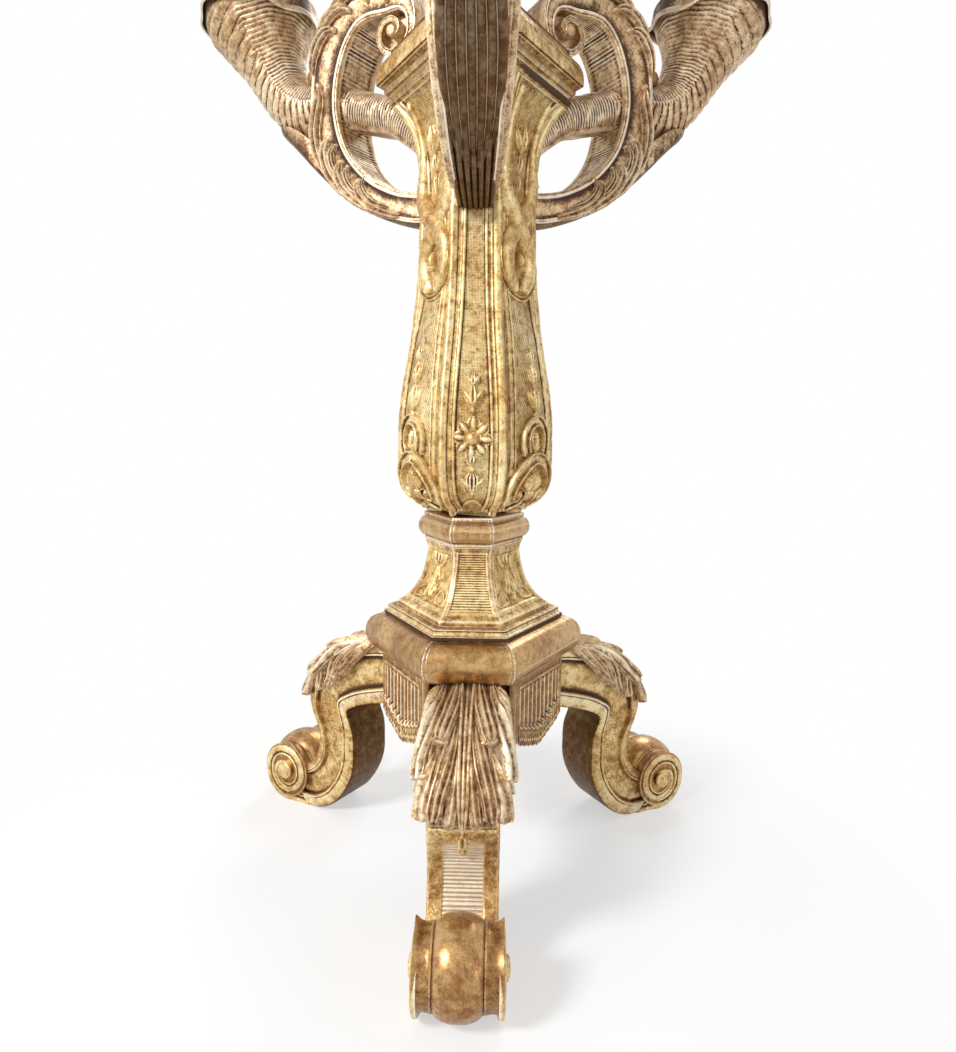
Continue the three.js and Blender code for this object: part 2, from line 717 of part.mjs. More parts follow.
// A wide face swells between its corners: strongly at the belly, not at the neck.
function crown(across, z) {
  const share = Math.min(1, Math.abs(across) / (shaftCorner(z) * wideHalfWidth));
  const rise = THREE.MathUtils.smoothstep(z, shaftBase, shaftAt(0.1));
  const fall = 1 - THREE.MathUtils.smoothstep(z, shaftAt(0.41), shaftAt(0.59));
  return faceCrown * rise * fall * (1 - share * share);
}

const facePoint = (across, z, lift) =>
  new THREE.Vector3(shaftCorner(z) * wideFace + crown(across, z) + lift, across, z);

// The swelling itself, from the foot of the shaft to the neck.
function crownGeometry() {
  const heights = [0.03, 0.06, 0.1, 0.15, 0.22, 0.3, 0.38, 0.44, 0.5, 0.56, 0.6].map(shaftAt);
  return skinned(heights.map((z) => {
    const half = shaftCorner(z) * wideHalfWidth - 0.5;
    const bow = [-1, -0.8, -0.5, -0.2, 0.2, 0.5, 0.8, 1].map((share) => facePoint(half * share, z, -0.3));
    return [new THREE.Vector3(reliefRoot, -half, z), ...bow, new THREE.Vector3(reliefRoot, half, z)];
  }));
}

// A bar of relief that follows a path of [across, height] on a wide face. Its width and height
// change from its first to its last point.
function reliefBar(path, widths, heights) {
  return skinned(path.map(([across, z], i) => {
    const [acrossBefore, before] = path[Math.max(i - 1, 0)];
    const [acrossAfter, after] = path[Math.min(i + 1, path.length - 1)];
    const way = new THREE.Vector2(acrossAfter - acrossBefore, after - before).normalize();
    const share = i / (path.length - 1);
    const half = THREE.MathUtils.lerp(widths[0], widths[1], share) / 2;
    const height = THREE.MathUtils.lerp(heights[0], heights[1], share);
    const corner = (side, lift) => facePoint(across - way.y * side * half, z + way.x * side * half, lift);
    return [corner(1, -reliefDepth), corner(1, height * 0.55), corner(0.5, height), corner(-0.5, height),
      corner(-1, height * 0.55), corner(-1, -reliefDepth)];
  }));
}

const mirrored = (path) => path.map(([across, z]) => [-across, z]);

// Two straps come down from the branches, cross and close into a volute.
const strapPath = [[33, 940], [33, 905], [34, 880], [30, 856], [15, 838], [-3, 824], [-17, 811], [-25, 797],
  [-28, 782], [-24.5, 766], [-14, 755], [-1, 750]];
// An arch stands over a pair of C-scrolls on the belly.
const archPath = [[-21, 549], [-25, 562], [-23, 577], [-13, 588], [0, 591], [13, 588], [23, 577], [25, 562], [21, 549]];
const beltPath = [[2, 546], [14, 543], [28, 535], [39, 524], [45, 511], [41, 498], [31, 492]];

function shaftRelief() {
  return [
    crownGeometry(),
    reliefBar(strapPath, strapWidths, [strapHeight, strapHeight]),
    reliefBar(mirrored(strapPath), strapWidths, [strapHeight + strapOver, strapHeight]),
    reliefBar(archPath, beltWidths, [beltHeight, beltHeight]),
    reliefBar(beltPath, beltWidths, [beltHeight, beltHeight]),
    reliefBar(mirrored(beltPath), beltWidths, [beltHeight, beltHeight]),
  ];
}

const sideTurns = Object.values(sides).map(radians);
const shaftHoles = sideTurns.map((turn) => branchHole.clone().rotateZ(turn));
const reliefTurns = Object.values(between).map(radians);
const shaftCarving = reliefTurns.flatMap((turn) => shaftRelief().map((piece) => piece.rotateZ(turn)));
place('shaft', cut(join(stacked(shaftProfile), ...shaftCarving), ...tenonHoles, ...shaftHoles), gilding);
place('capital', cut(stacked(capitalProfile), ...tenonHoles), burnished);

for (const [side, degrees] of Object.entries(sides)) {
  place(`c_scroll_${side}`, scrollGeometry, gilding, degrees);
  place(`horn_root_${side}`, rootGeometry, gilding, degrees);
  place(`horn_${side}`, hornGeometry, gilding, degrees);
  place(`berry_${side}`, berryGeometry, gilding, degrees);
  place(`candle_cup_${side}`, cupGeometry, gilding, degrees);
  place(`branch_dowel_${side}`,
    radialPin(branchDowelRadius, branchDowelStart, branchDowelLength, branchDowelHeight), bareWood, degrees);
  place(`horn_dowel_${side}`,
    radialPin(branchDowelRadius, divideRadius - hornDowelLength / 2, hornDowelLength, hornDowelHeight),
    bareWood, degrees);
}

// ---------------------------------------------------------------- the stand

// The origin is on the floor, under the middle of the whole stand's outline.
const stand = new THREE.Group();
stand.add(axisGroup);
stand.updateMatrixWorld(true);
const outline = new THREE.Box3().setFromObject(axisGroup, true);
const middle = outline.getCenter(new THREE.Vector3());
axisGroup.position.set(-middle.x, -middle.y, -outline.min.z);

export default stand;
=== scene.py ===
# %% [markdown]
# A gilded candle stand, built as a lesson in cells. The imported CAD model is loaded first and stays
# as it is: it says where each carved piece sits. Every visible piece is then modelled again with
# its carving, and stands for the plain CAD node in the same place.

# %% Load the frame
import math

import bpy
import numpy as np
from mathutils import Matrix, Vector


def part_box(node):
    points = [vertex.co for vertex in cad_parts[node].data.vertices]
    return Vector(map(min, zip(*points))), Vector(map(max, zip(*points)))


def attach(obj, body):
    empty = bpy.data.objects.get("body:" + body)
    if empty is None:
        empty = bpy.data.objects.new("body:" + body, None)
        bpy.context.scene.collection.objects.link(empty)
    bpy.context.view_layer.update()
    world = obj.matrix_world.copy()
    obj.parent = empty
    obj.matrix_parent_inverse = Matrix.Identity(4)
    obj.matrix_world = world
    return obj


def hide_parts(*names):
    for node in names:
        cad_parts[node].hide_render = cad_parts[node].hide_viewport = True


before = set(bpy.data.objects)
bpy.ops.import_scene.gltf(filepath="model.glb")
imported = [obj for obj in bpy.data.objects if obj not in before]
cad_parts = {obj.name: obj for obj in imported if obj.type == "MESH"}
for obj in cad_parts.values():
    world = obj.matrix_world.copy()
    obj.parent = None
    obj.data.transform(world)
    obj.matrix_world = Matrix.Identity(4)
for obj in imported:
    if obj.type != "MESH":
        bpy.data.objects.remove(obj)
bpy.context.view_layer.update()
print("CAD nodes:", len(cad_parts))

# %% [markdown]
# The stand has one axis, with three legs and three branches round it. Pieces are drawn in a
# workshop frame: metres, the axis at the origin, and the leg or branch pointing along +X. A piece
# is then turned to its direction and moved to the stand's axis, so one drawing serves three sides.

# %% Directions and units
MM = 0.001
LEGS = {"front": -90, "right": 30, "left": 150}
BETWEEN = {"right": -30, "back": 90, "left": 210}
low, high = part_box("tenon_base")
AXIS = Vector(((low.x + high.x) / 2, (low.y + high.y) / 2, 0))
FIRST_LEG = 30                           # six-sided pieces are drawn with a narrow face along +X
NARROW = math.radians(21.5)              # middle of a narrow face to its corner
WIDE = math.radians(60) - NARROW         # middle of a wide face to its corner
print("axis of the stand at", [round(v, 4) for v in AXIS])


# %% [markdown]
# Blender's operators act on whatever is selected, and loading leaves the CAD nodes selected. So
# everything is deselected before a primitive is added. These helpers do the steps that come back
# for every piece: start a primitive, work on it in edit mode, and measure how hollow each point
# of a carving lies.

# %% Workbench helpers
def start(name, add, **sizes):
    """Adds a primitive with nothing else selected and names it."""
    bpy.ops.object.select_all(action="DESELECT")
    add(**sizes)
    piece = bpy.context.object
    piece.name = name
    piece.data.name = name
    return piece


def edit(piece, *steps):
    """Runs operators on the whole piece in edit mode."""
    bpy.ops.object.select_all(action="DESELECT")
    piece.select_set(True)
    bpy.context.view_layer.objects.active = piece
    bpy.ops.object.mode_set(mode="EDIT")
    bpy.ops.mesh.select_all(action="SELECT")
    for step, settings in steps:
        step(**settings)
    bpy.ops.object.mode_set(mode="OBJECT")


def corners_of(mesh):
    """The points of a mesh, one in each row."""
    spots = np.empty(len(mesh.vertices) * 3)
    mesh.vertices.foreach_get("co", spots)
    return spots.reshape(-1, 3)


def move_corners(mesh, spots):
    mesh.vertices.foreach_set("co", np.asarray(spots, np.float32).ravel())
    mesh.update()


def soften(piece, degrees=38):
    """Smooth shading, with edges kept sharp where the faces turn by more than this."""
    bpy.ops.object.select_all(action="DESELECT")
    piece.select_set(True)
    bpy.context.view_layer.objects.active = piece
    bpy.ops.object.shade_smooth_by_angle(angle=math.radians(degrees))


def measure_hollows(piece, reach=4.0, width=3.4):
    """Stores how far each point lies under (+) or above (-) its smoothed surroundings.

    reach is the depth that counts as full, width how far the smoothing goes, in millimetres.
    """
    mesh = piece.data
    spots = corners_of(mesh)
    edges = np.empty(len(mesh.edges) * 2, np.int64)
    mesh.edges.foreach_get("vertices", edges)
    a, b = edges.reshape(-1, 2).T
    size = ((spots[a] - spots[b]) ** 2).sum(1)
    weight = 1 / (size + (0.4 * MM) ** 2)                # near neighbours pull more
    rounds = int(np.clip((width * MM) ** 2 / np.median(size), 2, 40))
    total = np.bincount(a, weight, len(spots)) + np.bincount(b, weight, len(spots))
    total[total == 0] = 1

    def spread(values, times):
        for _ in range(times):
            pulled = np.stack([np.bincount(a, weight * values[b, i], len(spots))
                               + np.bincount(b, weight * values[a, i],
                                             len(spots)) for i in range(values.shape[1])], 1)
            values = 0.25 * values + 0.75 * pulled / total[:, None]
        return values

    normals = np.empty(len(spots) * 3)
    mesh.vertices.foreach_get("normal", normals)
    depth = ((spread(spots, rounds) - spots) * normals.reshape(-1, 3)).sum(1) / (reach * MM)
    # The roundness of the whole form is taken out, so that only its carving is left.
    depth = depth - 0.8 * spread(depth[:, None], 2 * rounds)[:, 0]
    layer = mesh.attributes.get("hollow") or mesh.attributes.new("hollow", "FLOAT", "POINT")
    layer.data.foreach_set("value", np.clip(depth * 3.0, -1, 1).astype(np.float32))


# %% [markdown]
# Carved surfaces have thousands of small forms that no extrusion can give. For those a grid is
# added as a primitive and its points are pushed to their places in code, as a carver's knife would
# go over a blank. The grid's edges are then merged where they meet and its open ends are filled,
# which leaves one closed skin.

# %% Skin: a grid shaped in code
def skin(name, spots, across=None, along=None, layers=None, sharp=38, hollows=True):
    """A closed skin from rows of points in millimetres.

    Each row is a ring whose last point is its first. across and along go to the UV map, and
    layers holds further values for the finish, such as where the piece lies in shadow.
    """
    spots = np.asarray(spots, float) * MM
    rows, columns = spots.shape[:2]
    piece = start(name, bpy.ops.mesh.primitive_grid_add,
                  x_subdivisions=columns - 1, y_subdivisions=rows - 1, size=1)
    mesh = piece.data
    assert len(mesh.vertices) == rows * columns, (name, len(mesh.vertices), rows, columns)
    move_corners(mesh, spots.reshape(-1, 3))
    for layer, values in (layers or {}).items():
        mesh.attributes.new(layer, "FLOAT", "POINT").data.foreach_set(
            "value", np.broadcast_to(values, (rows, columns)).astype(np.float32).ravel())
    if across is not None:
        corner = np.empty(len(mesh.loops), np.int64)
        mesh.loops.foreach_get("vertex_index", corner)
        flat = np.stack([np.broadcast_to(across, (rows, columns)).ravel(),
                         np.broadcast_to(along, (rows, columns)).ravel()], 1)[corner]
        mesh.uv_layers[0].data.foreach_set("uv", flat.astype(np.float32).ravel())
    edit(piece, (bpy.ops.mesh.remove_doubles, {"threshold": 2e-6}), (bpy.ops.mesh.fill_holes, {"sides": 0}),
         (bpy.ops.mesh.select_all, {"action": "SELECT"}), (bpy.ops.mesh.normals_make_consistent,
                                                           {"inside": False}))
    if hollows:
        measure_hollows(piece)
    soften(piece, sharp)
    return piece


def triangles(piece):
    return sum(len(face.vertices) - 2 for face in piece.data.polygons)


print("helpers ready")

# %% [markdown]
# When a piece is finished, it is put in its place: its mesh is turned about the axis, its object
# stays at the origin, it gets its gilding, it is hung on the frame's root, and the plain
# CAD node it stands for is hidden. What repeats is modelled once and copied.

# %% Put a finished piece in place
made = {}


def put(piece, name, finish, degrees=0, replaces=()):
    """Turns a workshop piece to its direction and hands it to the frame."""
    piece.name = piece.data.name = name
    piece.data.transform(Matrix.Translation(AXIS) @ Matrix.Rotation(math.radians(degrees), 4, "Z"))
    piece.data.materials.clear()
    piece.data.materials.append(finish)
    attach(piece, "root")
    if replaces:
        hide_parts(*replaces)
    made[name] = triangles(piece)
    return piece


def copy_of(piece):
    """A copy of a piece, with its own mesh."""
    twin = piece.copy()
    twin.data = piece.data.copy()
    bpy.context.scene.collection.objects.link(twin)
    return twin


def put_round(piece, turns, name, finish, replaces=()):
    """Copies a workshop piece to several directions."""
    for side, degrees in turns.items():
        put(copy_of(piece), name.format(side), finish, degrees, [node.format(side) for node in replaces])
    bpy.data.objects.remove(piece)


def joined(pieces, name):
    """Joins small workshop pieces that are one carving."""
    bpy.ops.object.select_all(action="DESELECT")
    for piece in pieces:
        piece.select_set(True)
    bpy.context.view_layer.objects.active = pieces[0]
    bpy.ops.object.join()
    pieces[0].name = name
    return pieces[0]


print("placing tools ready")

# %% [markdown]
# Shader maths reads better as sums than as wires. A small class wraps one output of a node, so that
# `1 - worn` or `hollow * 0.6` adds the Math node it stands for. Every other node comes from one
# method that takes the node's type, its settings and the values or links of its sockets. The same
# class serves the finishes, the floor and the world.

# %% Shader expressions
class Wire:
    """One output of a node, which can be used in sums."""

    def __init__(self, recipe, socket):
        self.recipe, self.socket = recipe, socket

    def __add__(self, other): return self.recipe.maths("ADD", self, other)
    def __radd__(self, other): return self.recipe.maths("ADD", other, self)
    def __sub__(self, other): return self.recipe.maths("SUBTRACT", self, other)
    def __rsub__(self, other): return self.recipe.maths("SUBTRACT", other, self)
    def __mul__(self, other): return self.recipe.maths("MULTIPLY", self, other)
    def __rmul__(self, other): return self.recipe.maths("MULTIPLY", other, self)


class Recipe:
    """The nodes of one material, or of the world."""

    def __init__(self, name, kind="materials"):
        self.block = getattr(bpy.data, kind).new(name)
        self.block.use_nodes = True
        self.tree = self.block.node_tree
        self.tree.nodes.clear()

    def add(self, kind, settings=None, sockets=None, out=0):
        node = self.tree.nodes.new(kind)
        for setting, value in (settings or {}).items():
            setattr(node, setting, value)
        for socket, value in (sockets or {}).items():
            if isinstance(value, Wire):
                self.tree.links.new(value.socket, node.inputs[socket])
            else:
                node.inputs[socket].default_value = value
        return Wire(self, node.outputs[out]) if len(node.outputs) else None

    def maths(self, operation, first, second=0.0):
        return self.add("ShaderNodeMath", {"operation": operation}, {0: first, 1: second})

    def clamp(self, value):
        return self.add("ShaderNodeClamp", None, {"Value": value})

    def step(self, value, low, high):
        """0 under low, 1 over high, smooth in between."""
        return self.add("ShaderNodeMapRange", {"interpolation_type": "SMOOTHSTEP"},
                        {"Value": value, "From Min": low, "From Max": high})

    def mix(self, share, first, second):
        """From the first colour to the second, by the share."""
        return self.add("ShaderNodeMix", {"data_type": "RGBA", "clamp_factor": True},
                        {0: share, 6: first, 7: second}, out=2)

    def noise(self, place, scale, detail=3.0, rough=0.55):
        return self.add("ShaderNodeTexNoise", {"noise_dimensions": "3D"},
                        {"Vector": place, "Scale": scale, "Detail": detail, "Roughness": rough})

    def attribute(self, name):
        return self.add("ShaderNodeAttribute", {"attribute_name": name}, None, out="Fac")

    def split(self, vector):
        node = self.tree.nodes.new("ShaderNodeSeparateXYZ")
        self.tree.links.new(vector.socket, node.inputs[0])
        return [Wire(self, node.outputs[i]) for i in range(3)]


def srgb(red, green, blue):
    """A colour as read off a screen, 0 to 255, made linear for the shader."""
    return tuple(((v / 255 + 0.055) / 1.055) ** 2.4 if v > 10 else v / 255 / 12.92
                 for v in (red, green, blue)) + (1.0,)


print("shader expressions ready")

# %% [markdown]
# The finish of the whole stand is water gilding: thin gold leaf on red clay over white gesso. It is
# never one colour. The hollows stay dark brown, with dirt and painted shade, the high edges are rubbed
# down to the clay and then to chalk-white gesso, and the flats wander between pale yellow and brown
# gold. The "hollow" attribute of each mesh says where a hand could rub and where it could not, and so
# where shade is painted, "chalk" where the gesso shows through, and "shadow" where brown shade is
# painted on undersides, the backs of the legs, gaps and the horns' mouths. Three noises give the
# unevenness: wide patches, mottling of about a centimetre, and grain.

# %% Water gilding
LEAF = srgb(248, 232, 180), srgb(212, 174, 108), srgb(142, 96, 50)          # pale, middle and deep gold
CHALKY = srgb(242, 228, 198), srgb(206, 172, 128), srgb(134, 94, 60)        # the paler leaf of the carving
BURNISH = srgb(210, 174, 120), srgb(168, 126, 76), srgb(116, 76, 42)        # the browner leaf of the rolls
# The first of the next colours is the dark brown of the hollows and marks, dirt and painted shade together; the
# last is the brown of painted shade.
DIRT_AND_SHADE, CLAY, GESSO, SHADE = srgb(60, 34, 15), srgb(134, 62, 40), srgb(248, 240, 224), srgb(80, 50, 22)
PATCHES, MOTTLING, GRAIN = 14, 96, 400                                      # noises, in waves per metre


def gilding(name, gold=LEAF, shade=0.0, dirt_and_shade=1.0, worn=1.0, polish=0.0, blush=0.0, arris=False, pattern=None):
    """One gilded finish.

    shade darkens the gold. The argument after it sets how dark the hollows get, with soiling and
    painted shade; worn and blush say how much gesso and clay show. polish is for burnished parts.
    arris adds worn edges, and pattern adds marks that a punch or graver left.
    """
    r = Recipe(name)
    place = r.add("ShaderNodeTexCoord", None, None, out="Object")
    hollow, shadow, chalk = (r.attribute(layer) for layer in ("hollow", "shadow", "chalk"))
    patches = r.noise(place, PATCHES, 3, 0.55)
    mottle = r.noise(place, MOTTLING, 5, 0.7)
    grain = r.noise(place, GRAIN, 4, 0.7)
    relief = grain * 0.6 + mottle * 0.4

    # The leaf, from pale over middle to deep gold. Hollows lean to the deep gold, which is painted shade.
    depth = hollow * 0.3 + shade * 0.3
    middle = r.step(patches * 0.35 + mottle * 0.4 + grain * 0.25 + depth, 0.34, 0.56)
    deep = r.step(mottle * 0.5 + grain * 0.35 + patches * 0.15 + depth, 0.47 - polish * 0.06,
                  0.62 + polish * 0.1)
    colour = r.mix(deep * 0.9, r.mix(middle, gold[0], gold[1]), gold[2])

    # Dark brown in the hollows, which is dirt and painted shade together, and dirt in the marks and in small pits.
    dark = r.step(hollow * dirt_and_shade + (mottle - 0.5) * 0.5 + (grain - 0.5) * 0.6, 0.05, 0.4)
    if pattern:
        marks = pattern(r) * r.attribute("ground")
        dark = r.clamp(dark + marks * 0.75)
        relief = relief - marks * 2.0
    pits = r.step(grain, 0.58, 0.68) * r.step(mottle, 0.44, 0.6)
    colour = r.mix(r.clamp(dark * 0.92 + pits * (0.6 - 0.4 * polish)), colour, DIRT_AND_SHADE)

    # Wear on the high places: first to the clay, then to the gesso.
    ridge = (mottle - 0.5) * 0.5 - hollow * worn
    if arris:
        ridge = ridge + worn_arris(r, place) * (grain * 1.5 - 0.35)
    rubbed = r.step(ridge + (patches - 0.5) * 0.9 + blush, 0.14, 0.46)
    flecks = r.step(mottle + (grain - 0.5) * 0.6, 0.46 - blush * 0.3, 0.58 + blush * 0.3)
    bare = r.step(ridge + (grain - 0.5) * 1.4, 0.24, 0.56)
    colour = r.mix(rubbed * flecks * 0.65, colour, CLAY)
    colour = r.mix(bare * 0.85, colour, GESSO)
    colour = r.mix(chalk * 0.55, colour, GESSO)

    # Painted shade: where the shadow layer says so, the colour goes dark brown all over but for the barest places.
    painted_shade = r.clamp(shadow * (0.7 + mottle * 0.5 + hollow * 0.5)) * (0.96 - bare * 0.45)
    colour = r.mix(painted_shade, colour, SHADE)

    rough = 0.44 - polish * 0.12 + dark * 0.2 + (grain - 0.5) * 0.25
    # Painted shade also makes the finish more metallic, so that it reflects its own dark colour.
    metal = r.clamp((1.0 - dark * 0.4) * (1.0 - bare * 0.8) * (0.5 + polish * 0.3) + shadow * 0.5)
    bump = r.add("ShaderNodeBump", None, {"Strength": 0.5 - polish * 0.32, "Distance": 0.0009,
                                          "Height": relief})
    shader = r.add("ShaderNodeBsdfPrincipled", None, {
        "Base Color": colour, "Roughness": rough, "Metallic": metal, "Normal": bump,
        "Specular IOR Level": 0.5})
    r.add("ShaderNodeOutputMaterial", None, {"Surface": shader})
    return r.block


# %% [markdown]
# On the smooth mouldings the leaf is gone from the sharp edges, where six faces meet in pairs. The
# place of these edges is known: they stand at 21.5 degrees on both sides of each leg. So the
# distance to the nearest one is worked out from the point's place, and drawn as a thin pale line.

# %% Worn edges of the six-sided pieces
def worn_arris(r, place):
    """1 on the sharp edges and on a line beside them, 0 elsewhere."""
    x, y, _ = r.split(place)
    y = y - AXIS.y
    radius = r.maths("SQRT", x * x + y * y)
    # Folded at each leg and between, the angle tells how far a point is from the nearest leg.
    fold = r.maths("PINGPONG", r.maths("ARCTAN2", y, x) + math.radians(90 + 720), math.radians(60))
    edge = r.maths("ABSOLUTE", fold - NARROW) * radius
    inset = r.maths("ABSOLUTE", (NARROW - fold) * radius - 0.0042)
    return (1.0 - r.step(edge, 0.0004, 0.0016)) + 0.8 * (1.0 - r.step(inset, 0.0002, 0.0009))


# %% [markdown]
# The finishes differ in their gold, in how dark their hollows are with dirt and painted shade, and in
# how much wear and polish they show. The mouldings and the rolls of the feet are burnished, and the
# carving is matt and more rubbed.

# %% The finishes
gilt = gilding("gilt_carving")
gilt_plain = gilding("gilt_flats", shade=0.12, worn=0.7, dirt_and_shade=0.6)
gilt_edges = gilding("gilt_mouldings", dirt_and_shade=0.75, arris=True)
gilt_leaf = gilding("gilt_leaves", CHALKY, shade=0.05, dirt_and_shade=1.1, worn=1.4)
gilt_scroll = gilding("gilt_scrolls", shade=0.02, dirt_and_shade=1.1, polish=0.4)
# A darker copy of the carving's gilding for the hanging panels and the berries, which lie in shade: its extra
# darkness is painted shade.
gilt_dark = gilding("gilt_in_shade", shade=0.35, dirt_and_shade=1.2)
burnished = gilding("burnished_roll", BURNISH, dirt_and_shade=0.7, polish=1.0, arris=True)
rubbed_gold = gilding("burnished_foot", BURNISH, dirt_and_shade=0.9, polish=1.0, blush=0.1)
print("finishes:", len(bpy.data.materials))

# %% [markdown]
# The camera stands where the photograph was taken: about a metre in front of the stand, at half its
# height, looking slightly down with a wide lens. That nearness is why the front leg and the front
# branch look so large, so the place of the camera matters as much as the shapes.

# %% Camera
sight = bpy.data.cameras.new("camera")
sight.lens, sight.sensor_width, sight.clip_start = 26.817, 36.0, 0.02
camera = bpy.data.objects.new("camera", sight)
bpy.context.scene.collection.objects.link(camera)
heading, pitch, roll = math.radians(1.36), math.radians(-8.26), math.radians(0.76)
ahead = Vector((-math.sin(heading) * math.cos(pitch), math.cos(heading) * math.cos(pitch), math.sin(pitch)))
right = ahead.cross(Vector((0, 0, 1))).normalized()
up = right.cross(ahead)
tilted_right = right * math.cos(roll) + up * math.sin(roll)
tilted_up = up * math.cos(roll) - right * math.sin(roll)
camera.matrix_world = Matrix(((tilted_right.x, tilted_up.x, -ahead.x, 0.0300),
                              (tilted_right.y, tilted_up.y, -ahead.y, AXIS.y - 1.0236),
                              (tilted_right.z, tilted_up.z, -ahead.z, 0.6016), (0, 0, 0, 1)))
bpy.context.scene.camera = camera
print("camera at", [round(v, 3) for v in camera.location])

# %% [markdown]
# The photograph has a plain white ground and soft light from the left and front. A large floor and
# a pale world give the white. What the camera and reflections see is pure white, while the light
# that the world sends to the carving is weaker, so that the lamps can model its forms. Close to the
# stand the floor keeps some of its own shading, which is where the soft shadow shows.

# %% Floor, world and lamps
floor_recipe = Recipe("floor")
lit = floor_recipe.add("ShaderNodeBsdfPrincipled", None, {
    "Base Color": (0.93, 0.93, 0.93, 1), "Roughness": 0.9, "Specular IOR Level": 0.0})
white = floor_recipe.add("ShaderNodeEmission", None, {"Color": (1, 1, 1, 1), "Strength": 1.0})
spot = floor_recipe.split(floor_recipe.add("ShaderNodeTexCoord", None, None, out="Object"))
away = floor_recipe.maths("SQRT", spot[0] * spot[0] + spot[1] * spot[1])
rays = [floor_recipe.add("ShaderNodeLightPath", None, None, out=f"Is {kind} Ray") for kind in ("Camera",
                                                                                               "Glossy")]
fade = (rays[0] + rays[1]) * (0.55 + 0.45 * floor_recipe.step(away, 0.35, 0.75))
blend = floor_recipe.add("ShaderNodeMixShader", None, {0: floor_recipe.clamp(fade), 1: lit, 2: white})
floor_recipe.add("ShaderNodeOutputMaterial", None, {"Surface": blend})
floor = start("floor", bpy.ops.mesh.primitive_plane_add, size=14, location=(0, 2, 0))
floor.data.transform(Matrix.Translation(floor.location))
floor.location = (0, 0, 0)
floor.data.materials.append(floor_recipe.block)

WORLD_LIGHT = 0.42                       # strength of the world as a lamp, where what is seen of it is 1
sky = Recipe("studio", "worlds")
bpy.context.scene.world = sky.block
seen = 0.0
for kind in ("Camera", "Glossy", "Transmission"):
    seen = sky.maths("MAXIMUM", seen, sky.add("ShaderNodeLightPath", None, None, out=f"Is {kind} Ray"))
strength = sky.add("ShaderNodeMapRange", None, {"Value": seen, "To Min": WORLD_LIGHT})
glow = sky.add("ShaderNodeBackground", None, {"Color": (1, 1, 1, 1), "Strength": strength})
sky.add("ShaderNodeOutputWorld", None, {"Surface": glow})


def lamp(name, place, aim, size, power):
    """A round lamp of a size in metres and a power in watts."""
    light = bpy.data.lights.new(name, "AREA")
    light.shape, light.size, light.energy = "DISK", size, power
    body = bpy.data.objects.new(name, light)
    bpy.context.scene.collection.objects.link(body)
    body.location = place
    body.rotation_euler = (Vector(aim) - Vector(place)).to_track_quat("-Z", "Y").to_euler()


lamp("key", (-1.9, -1.7, 2.2), (0, 0, 0.6), 0.8, 84)
lamp("fill", (2.4, -1.8, 1.2), (0, 0, 0.6), 1.6, 8)
lamp("back", (0.8, 2.6, 2.6), (0, 0, 0.7), 1.6, 34)
bpy.context.scene.view_settings.view_transform = "Standard"
print("studio ready")

# %% [markdown]
# The core of the stand is a stack of six-sided pieces. Their plan is a triangle with its corners
# cut off: the narrow faces look at the legs, the wide faces lie between them. Each moulding starts
# as a six-sided disc, and is drawn up by extruding its top and resizing it, step by step, along
# the profile, as a turner would read a template. The corners then get a small bevel.

# %% Mouldings of the stack
def plan(radius):
    """The six corners of the plan, in metres, for a corner radius in millimetres."""
    return [(radius * MM * math.cos(side + half), radius * MM * math.sin(side + half))
            for side in map(math.radians, (0, 120, 240)) for half in (-NARROW, NARROW)]


def moulding(name, profile, bevel=0.9):
    """profile is a list of corner radius and height, from the bottom up, in millimetres."""
    piece = start(name, bpy.ops.mesh.primitive_circle_add, vertices=6, radius=1, fill_type="NGON")
    radius, height = profile[0]
    for corner, (x, y) in zip(piece.data.vertices, plan(radius)):
        corner.co = (x, y, height * MM)
    steps = []
    for next_radius, next_height in profile[1:]:
        steps.append((bpy.ops.mesh.extrude_region_move,
                      {"TRANSFORM_OT_translate": {"value": (0, 0, (next_height - height) * MM)}}))
        grow = next_radius / radius
        steps.append((bpy.ops.transform.resize,
                      {"value": (grow, grow, 1), "center_override": (0, 0, next_height * MM)}))
        radius, height = next_radius, next_height
    edit(piece, *steps)
    mesh = piece.data
    # Only the upright edges at the corners are bevelled: both ends lie in the same direction.
    turn = [round(math.degrees(math.atan2(v.co.y, v.co.x))) for v in mesh.vertices]
    for edge in mesh.edges:
        a, b = edge.vertices
        edge.select = turn[a] == turn[b] and abs(mesh.vertices[a].co.z - mesh.vertices[b].co.z) > 1e-5
    for face in mesh.polygons:
        face.select = False
    bpy.ops.object.mode_set(mode="EDIT")
    bpy.ops.mesh.select_mode(type="EDGE")
    bpy.ops.mesh.bevel(offset=bevel * MM, segments=2, profile=0.6)
    bpy.ops.mesh.select_all(action="SELECT")
    bpy.ops.mesh.normals_make_consistent(inside=False)
    bpy.ops.mesh.select_mode(type="VERT")
    bpy.ops.object.mode_set(mode="OBJECT")
    measure_hollows(piece, reach=3.0)
    soften(piece, 28)
    return piece


def roll(radius, middle, depth, height, low, high, count):
    """Points of a rounded moulding, from a low to a high angle in degrees."""
    turns = [math.radians(low + (high - low) * i / count) for i in range(count + 1)]
    return [(radius + depth * math.cos(turn), middle + height * math.sin(turn)) for turn in turns]


plinth = moulding("plinth", [(126, 277.4), (128, 277.8)] + roll(128, 302.5, 22, 24.4, -82, 82, 26)
                  + [(126, 327.4), (124, 327.9)])
put(plinth, "plinth_roll", burnished, FIRST_LEG, replaces=["plinth"])

step_piece = moulding("step", [(119, 328.3), (121.5, 328.3), (122.8, 329.2), (122.8, 333.4), (121.8, 334.4),
                               (119, 335.2), (118, 336.0), (117.4, 337.2), (117.2, 340.6), (116.6, 341.6),
                               (115, 341.9)])
put(step_piece, "step_fillet", gilt_edges, FIRST_LEG, replaces=["plinth_step"])

